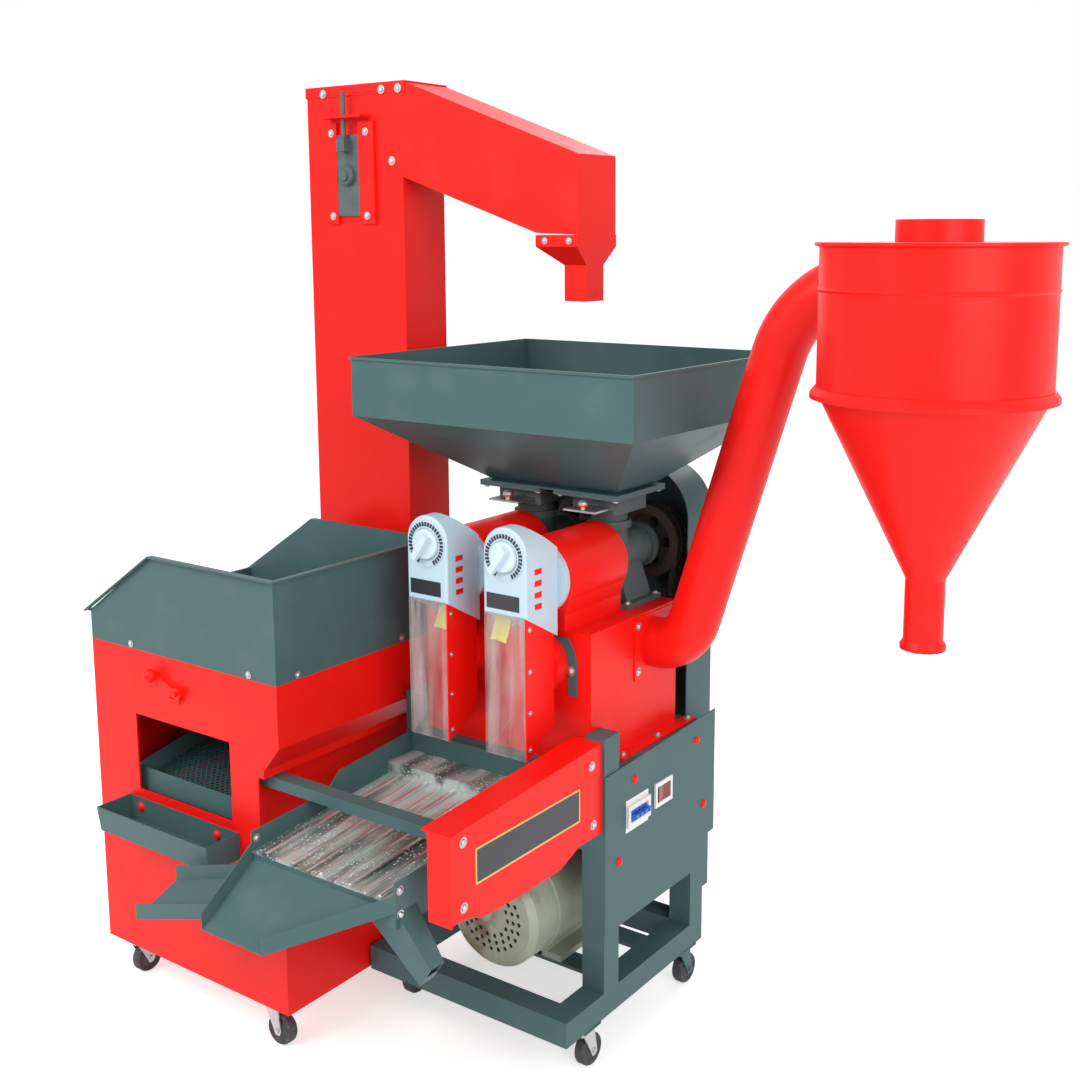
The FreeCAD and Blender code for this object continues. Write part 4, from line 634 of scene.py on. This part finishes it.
@dataclass
class GrainPath:
    """What the grain runs over: deck ridges, the woven cleaning screen and the outlet flaps."""

    datum: Datum
    finishes: dict[str, bpy.types.Material]
    deck_x: tuple[float, float] = (-166.0, 106.0)
    deck_y: tuple[float, float] = (-261.0, 19.0)
    deck_z: tuple[float, float] = (385.2, 407.8)
    screen_x: tuple[float, float] = (-560.0, -290.0)
    screen_y: tuple[float, float] = (-160.0, 90.0)
    screen_z: float = 353.0
    screen_rise: float = 52.0
    screen_wall: float = 38.0
    sheet: float = 2.0
    ridge_count: int = 9
    rib_ridge: tuple[float, float] = (2.6, 3.0)
    low_ridge: tuple[float, float] = (1.8, 0.0)
    wire_pitch: float = 12.0
    wire_half: float = 1.6
    wire_thick: float = 1.5
    mesh_lift: float = 8.0
    flap_spans: tuple[tuple[str, float, float], ...] = (("left", -68.0, -38.0), ("right", 41.0, 70.0))
    flap_low: tuple[float, float] = (24.0, 664.0)
    flap_size: tuple[float, float] = (14.0, 38.0)
    flap_crease: tuple[float, float] = (0.4, 5.0)
    flap_thick: float = 1.2

    def ridges(self) -> None:
        """Make the deck's ridges: half circles carried along the slope, higher on each second one; their
        near-white metal colour is a painted highlight.
        """
        # near-white colour, brighter than the deck steel: painted highlight along the ridges
        bright = BareMetal("ridge_painted_highlight_look", (0.93, 0.94, 0.92), 0.2, (1.0, 0.1, 1.0)).build()
        piece = Piece("deck_ridges", "sieve", "deck_steel", bright)
        x0, x1 = self.deck_x
        turn = np.linspace(0.0, math.pi, 7)
        for k in range(self.ridge_count):
            radius, lift = self.low_ridge if k % 2 else self.rib_ridge
            middle = (x1 - x0) * (k + 1) / (self.ridge_count + 1)
            section = np.column_stack([np.cos(turn) * radius + x0 + middle, np.sin(turn) * radius + lift])
            grid = np.stack([np.column_stack([section[:, 0], np.full(len(turn), y), section[:, 1] + z])
                             for y, z in zip(self.deck_y, self.deck_z)])
            piece.surface(self.datum.at(grid.reshape(-1, 3)).reshape(grid.shape), wrap_v=True)
            for end in grid:
                cap = np.stack([end[:4], end[:2:-1]], axis=0)
                piece.surface(self.datum.at(cap.reshape(-1, 3)).reshape(cap.shape))
        piece.finish()

    def lattice(self, piece: Piece, lean: int) -> None:
        """Add one family of slanting wires that ends at the walls: x = start + lean * y.

        Args:
            piece: the screen.
            lean: 1 or -1, the way that the wires slant.
        """
        pitch, half = self.wire_pitch, self.wire_half
        x0, x1 = self.screen_x[0] + self.sheet, self.screen_x[1] - self.sheet
        y0, y1 = self.screen_y[0] + self.sheet, self.screen_y[1] - self.sheet
        span = y1 - y0
        starts = np.arange(x0 - span, x1, pitch) if lean > 0 else np.arange(x0, x1 + span, pitch)
        first = np.clip(x0 - starts, 0.0, span) if lean > 0 else np.clip(starts - x1, 0.0, span)
        last = np.clip(x1 - starts, 0.0, span) if lean > 0 else np.clip(starts - x0, 0.0, span)
        slope = self.screen_rise / (self.screen_y[1] - self.screen_y[0])
        low = self.screen_z + self.mesh_lift + self.sheet
        for start, begin, end in zip(starts, first, last):
            if end - begin < 4 * half:
                continue
            run = np.array([begin + half, end - half])
            x, y = start + lean * run, y0 + run
            z = low + slope * (y - self.screen_y[0])
            outline = [(x[0] - half, y[0], z[0]), (x[0] + half, y[0], z[0]), (x[1] + half, y[1], z[1]),
                       (x[1] - half, y[1], z[1])]
            piece.slab(self.datum.at(outline), np.array([0.0, 0.0, -self.wire_thick * MM]))

    def screen(self) -> None:
        """Make the woven screen in its tray; it stands for the plain perforated one."""
        piece = Piece("woven_screen", "screen", "grey_paint", self.finishes["grey_paint"])
        (x0, x1), (y0, y1) = self.screen_x, self.screen_y
        z0, wall, rise = self.screen_z, self.screen_wall, self.screen_rise
        profile = [(y0, z0), (y0, z0 + wall), (y1, z0 + rise + wall), (y1, z0)]
        for x in (x0, x1 - self.sheet):
            piece.slab(self.datum.at([(x, y, z) for y, z in profile]), np.array([self.sheet * MM, 0.0, 0.0]))
        lows = [(x0 + self.sheet, y0, z0), (x0 + self.sheet, y1 - self.sheet, z0)]
        highs = [(x1 - self.sheet, y0 + self.sheet, z0 + wall), (x1 - self.sheet, y1, z0 + rise + wall)]
        piece.blocks(self.datum.at(lows), self.datum.at(highs))
        for lean in (-1, 1):
            self.lattice(piece, lean)
        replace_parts(piece.finish(smooth=False), "stoner_screen")

    def flaps(self) -> None:
        """Make the yellow outlet flap that shows through each chute's clear front."""
        yellow = Moulded("yellow_flap_look", (0.72, 0.58, 0.03), 0.45).build()
        (low_y, low_z), (depth, height), (crease, sag) = self.flap_low, self.flap_size, self.flap_crease
        for side, low_x, high_x in self.flap_spans:
            piece = Piece(f"outlet_flap_{side}", "frame", "black_plastic", yellow)
            u = np.linspace(0.0, 1.0, 9)
            drop, across = np.meshgrid(u, u, indexing="ij")
            x = low_x + (high_x - low_x) * across
            y = low_y + depth * np.sin(drop * math.pi / 2)
            z = low_z + height * drop - sag * np.abs(across - crease)
            front = np.stack([x, y, z], axis=-1)
            grid = np.stack([front, front + np.array([0.0, self.flap_thick, 0.0])])
            for face in grid:
                piece.surface(self.datum.at(face.reshape(-1, 3)).reshape(face.shape))
            rim = np.concatenate([grid[:, 0, :], grid[:, 1:, -1], grid[:, -1, -2::-1], grid[:, -2:0:-1, 0]],
                                 axis=1)
            piece.surface(self.datum.at(rim.reshape(-1, 3)).reshape(rim.shape), wrap_v=True)
            piece.finish()

    def build(self) -> None:
        """Make every piece of the grain's way."""
        self.ridges()
        self.screen()
        self.flaps()


@dataclass
class Markings:
    """Plates, dial scales and vent inserts, all without lettering."""

    datum: Datum
    finishes: dict[str, bpy.types.Material]
    head_front: float = 18.0
    dial_z: float = 792.0

    def plate(self, name: str, low: Sequence[float], high: Sequence[float], slot: str) -> None:
        """Make one thin plate between two corners in millimetres."""
        piece = Piece(name, "frame", slot, self.finishes[slot])
        piece.blocks(self.datum.at([low]), self.datum.at([high]))
        piece.finish(bevel=PLATE_ROUNDING)

    def nameplate(self) -> None:
        """Make the guard's bare black plate with its brass border."""
        brass = BareMetal("brass_border_look", (0.75, 0.52, 0.2), 0.35).build()
        border = Piece("nameplate_border", "frame", "steel", brass)
        border.blocks(self.datum.at([(191, -198, 410)]), self.datum.at([(191.8, 40, 461)]))
        border.finish(bevel=PLATE_ROUNDING)
        self.plate("nameplate", (191, -195, 413), (192.3, 37, 458), "black_plastic")

    def scale_ring(self, side: str, x: float) -> None:
        """Make one dial's ring of marks: bars that stand on a circle, 10 degrees apart.

        Args:
            side: the mill's side, for the piece's name.
            x: the dial's middle in millimetres.
        """
        angles = np.radians(np.arange(-150.0, 151.0, 10.0))
        across = np.column_stack([np.cos(angles), np.zeros_like(angles), -np.sin(angles)])
        along = np.column_stack([np.sin(angles), np.zeros_like(angles), np.cos(angles)])
        centre = np.array([x, self.head_front - 1.5, self.dial_z])
        inner, outer, half = 27.5, 34.0, 1.9
        corners = np.stack([centre + across * s * half + along * r
                            for s, r in ((-1, inner), (1, inner), (1, outer), (-1, outer))], axis=1)
        piece = Piece(f"dial_marks_{side}", "frame", "black_plastic", self.finishes["black_plastic"])
        for base in corners:
            piece.slab(self.datum.at(base), np.array([0.0, -0.5, 0.0]) * MM)
        piece.finish(smooth=False)

    def build(self) -> None:
        """Make every marking."""
        self.nameplate()
        for side, x in MILLS:
            self.scale_ring(side, x)
            self.plate(f"head_label_{side}", (x - 33, self.head_front - 0.8, 713),
                       (x + 27, self.head_front, 736), "black_plastic")
            vents = Piece(f"vent_inserts_{side}", "frame", "red_paint", self.finishes["red_paint"])
            heights = self.dial_z - 22 - 17.3 * np.arange(4)
            lows = self.datum.at([(x + 37.5, self.head_front + 20.5, z - 4) for z in heights])
            highs = self.datum.at([(x + 39, self.head_front + 37.5, z + 4) for z in heights])
            vents.blocks(lows, highs)
            vents.finish(bevel=0.5 * MM)


@dataclass
class Studio:
    """Pale floor, soft lamps and the camera."""

    datum: Datum
    camera_at: tuple[float, float, float] = (1260.0, -1490.0, 1250.0)
    azimuth: float = 35.40
    elevation: float = 9.21
    roll: float = 0.14
    sensor: float = 36.0
    lens: float = 45.4666667
    shift: tuple[float, float] = (-0.0259259259, -0.0777777778)
    reach: float = 40.0
    view_limit: float = 100.0
    lift: float = 0.55
    ambient: float = 0.55

    def floor(self) -> None:
        """Make the floor: a level square far larger than the machine."""
        mesh = bpy.data.meshes.new("floor")
        corners = [(x * self.reach, y * self.reach, 0) for x, y in ((-1, -1), (1, -1), (1, 1), (-1, 1))]
        mesh.from_pydata(corners, [], [(0, 1, 2, 3)])
        ground = bpy.data.objects.new("floor", mesh)
        bpy.context.scene.collection.objects.link(ground)
        shop = PaintShop("floor_look")
        path = shop.node("ShaderNodeLightPath", {}, {})
        direct = Signal(shop, path.outputs["Is Camera Ray"]) + Signal(shop, path.outputs["Is Glossy Ray"])
        tone = shop.blend(shop.noise(0.6, 3.0), rgba((0.80, 0.80, 0.80)), rgba((0.83, 0.83, 0.83)))
        glow = shop.blend(direct, rgba((0, 0, 0)), rgba((self.lift,) * 3))
        shop.connect(Base_Color=tone, Roughness=0.9, Emission_Strength=1.0, Emission_Color=glow)
        mesh.materials.append(shop.material)

    def world(self) -> None:
        """Make a white surround that lights the machine softly."""
        world = bpy.data.worlds.new("studio")
        world.use_nodes = True
        tree = world.node_tree
        tree.nodes.clear()
        path = add_node(tree, "ShaderNodeLightPath", {}, {}).outputs
        larger = {"operation": "MAXIMUM"}
        direct = add_node(tree, "ShaderNodeMath", larger,
                          {0: path["Is Camera Ray"], 1: path["Is Glossy Ray"]})
        seen = add_node(tree, "ShaderNodeMath", larger,
                        {0: direct.outputs[0], 1: path["Is Transmission Ray"]})
        soft = add_node(tree, "ShaderNodeBackground", {}, {0: WHITE, 1: self.ambient})
        white = add_node(tree, "ShaderNodeBackground", {}, {0: WHITE, 1: 1.0})
        mix = add_node(tree, "ShaderNodeMixShader", {},
                       {0: seen.outputs[0], 1: soft.outputs[0], 2: white.outputs[0]})
        add_node(tree, "ShaderNodeOutputWorld", {}, {0: mix.outputs[0]})
        bpy.context.scene.world = world

    def lamp(self, name: str, place: Sequence[float], target: Sequence[float], size: float,
             power: float) -> None:
        """Hang one square soft box that looks at a target; places in metres."""
        light = bpy.data.lights.new(name, "AREA")
        light.size, light.energy = size, power
        lamp = bpy.data.objects.new(name, light)
        lamp.location = place
        lamp.rotation_euler = (Vector(target) - Vector(place)).to_track_quat("-Z", "Y").to_euler()
        bpy.context.scene.collection.objects.link(lamp)

    def camera(self) -> None:
        """Place the camera; its shift moves the optical centre off the image's middle."""
        data = bpy.data.cameras.new("camera")
        data.sensor_width, data.lens = self.sensor, self.lens
        data.shift_x, data.shift_y = self.shift
        data.clip_end = self.view_limit
        camera = bpy.data.objects.new("camera", data)
        bpy.context.scene.collection.objects.link(camera)
        camera.location = self.datum.at([self.camera_at])[0]
        camera.rotation_mode = "XYZ"
        turns = (90.0 - self.elevation, self.roll, self.azimuth)
        camera.rotation_euler = [math.radians(turn) for turn in turns]
        bpy.context.scene.camera = camera

    def build(self) -> None:
        """Set the whole stage."""
        self.floor()
        self.world()
        self.lamp("key", (-1.2, -3.4, 3.2), (0, 0, 0.7), 2.4, 110)
        self.lamp("fill", (3.4, -1.6, 2.2), (0, 0, 0.7), 2.6, 85)
        self.lamp("back", (-0.5, 3.0, 3.0), (0, 0, 0.8), 2.0, 40)
        self.camera()
        bpy.context.scene.view_settings.view_transform = "Standard"


@dataclass
class RiceHuller:
    """The dressed machine: CAD nodes with their finishes, and every added piece."""

    frame: dict[str, Any]

    def dress_nodes(self, finishes: dict[str, bpy.types.Material]) -> None:
        """Give every node the finish of its slot."""
        slots = {row["node"]: row["material_slot"] for row in self.frame["record"]["subparts"]}
        for name, node in self.frame["nodes"].items():
            node.data.materials.clear()
            node.data.materials.append(finishes[slots[name]])
        LOG.info("dressed %d nodes", len(slots))

    def build(self) -> None:
        """Build the sub-assemblies in order."""
        finishes = Finishes().build()
        datum = Datum()
        self.dress_nodes(finishes)
        Fasteners(datum, finishes).build()
        GrainPath(datum, finishes).build()
        Markings(datum, finishes).build()
        Studio(datum).build()


def main() -> None:
    """Load the frame and dress it."""
    logging.basicConfig(level=logging.INFO, format="%(name)s: %(message)s")
    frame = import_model()
    RiceHuller(frame).build()
    bpy.context.view_layer.update()


if __name__ == "__main__":
    main()
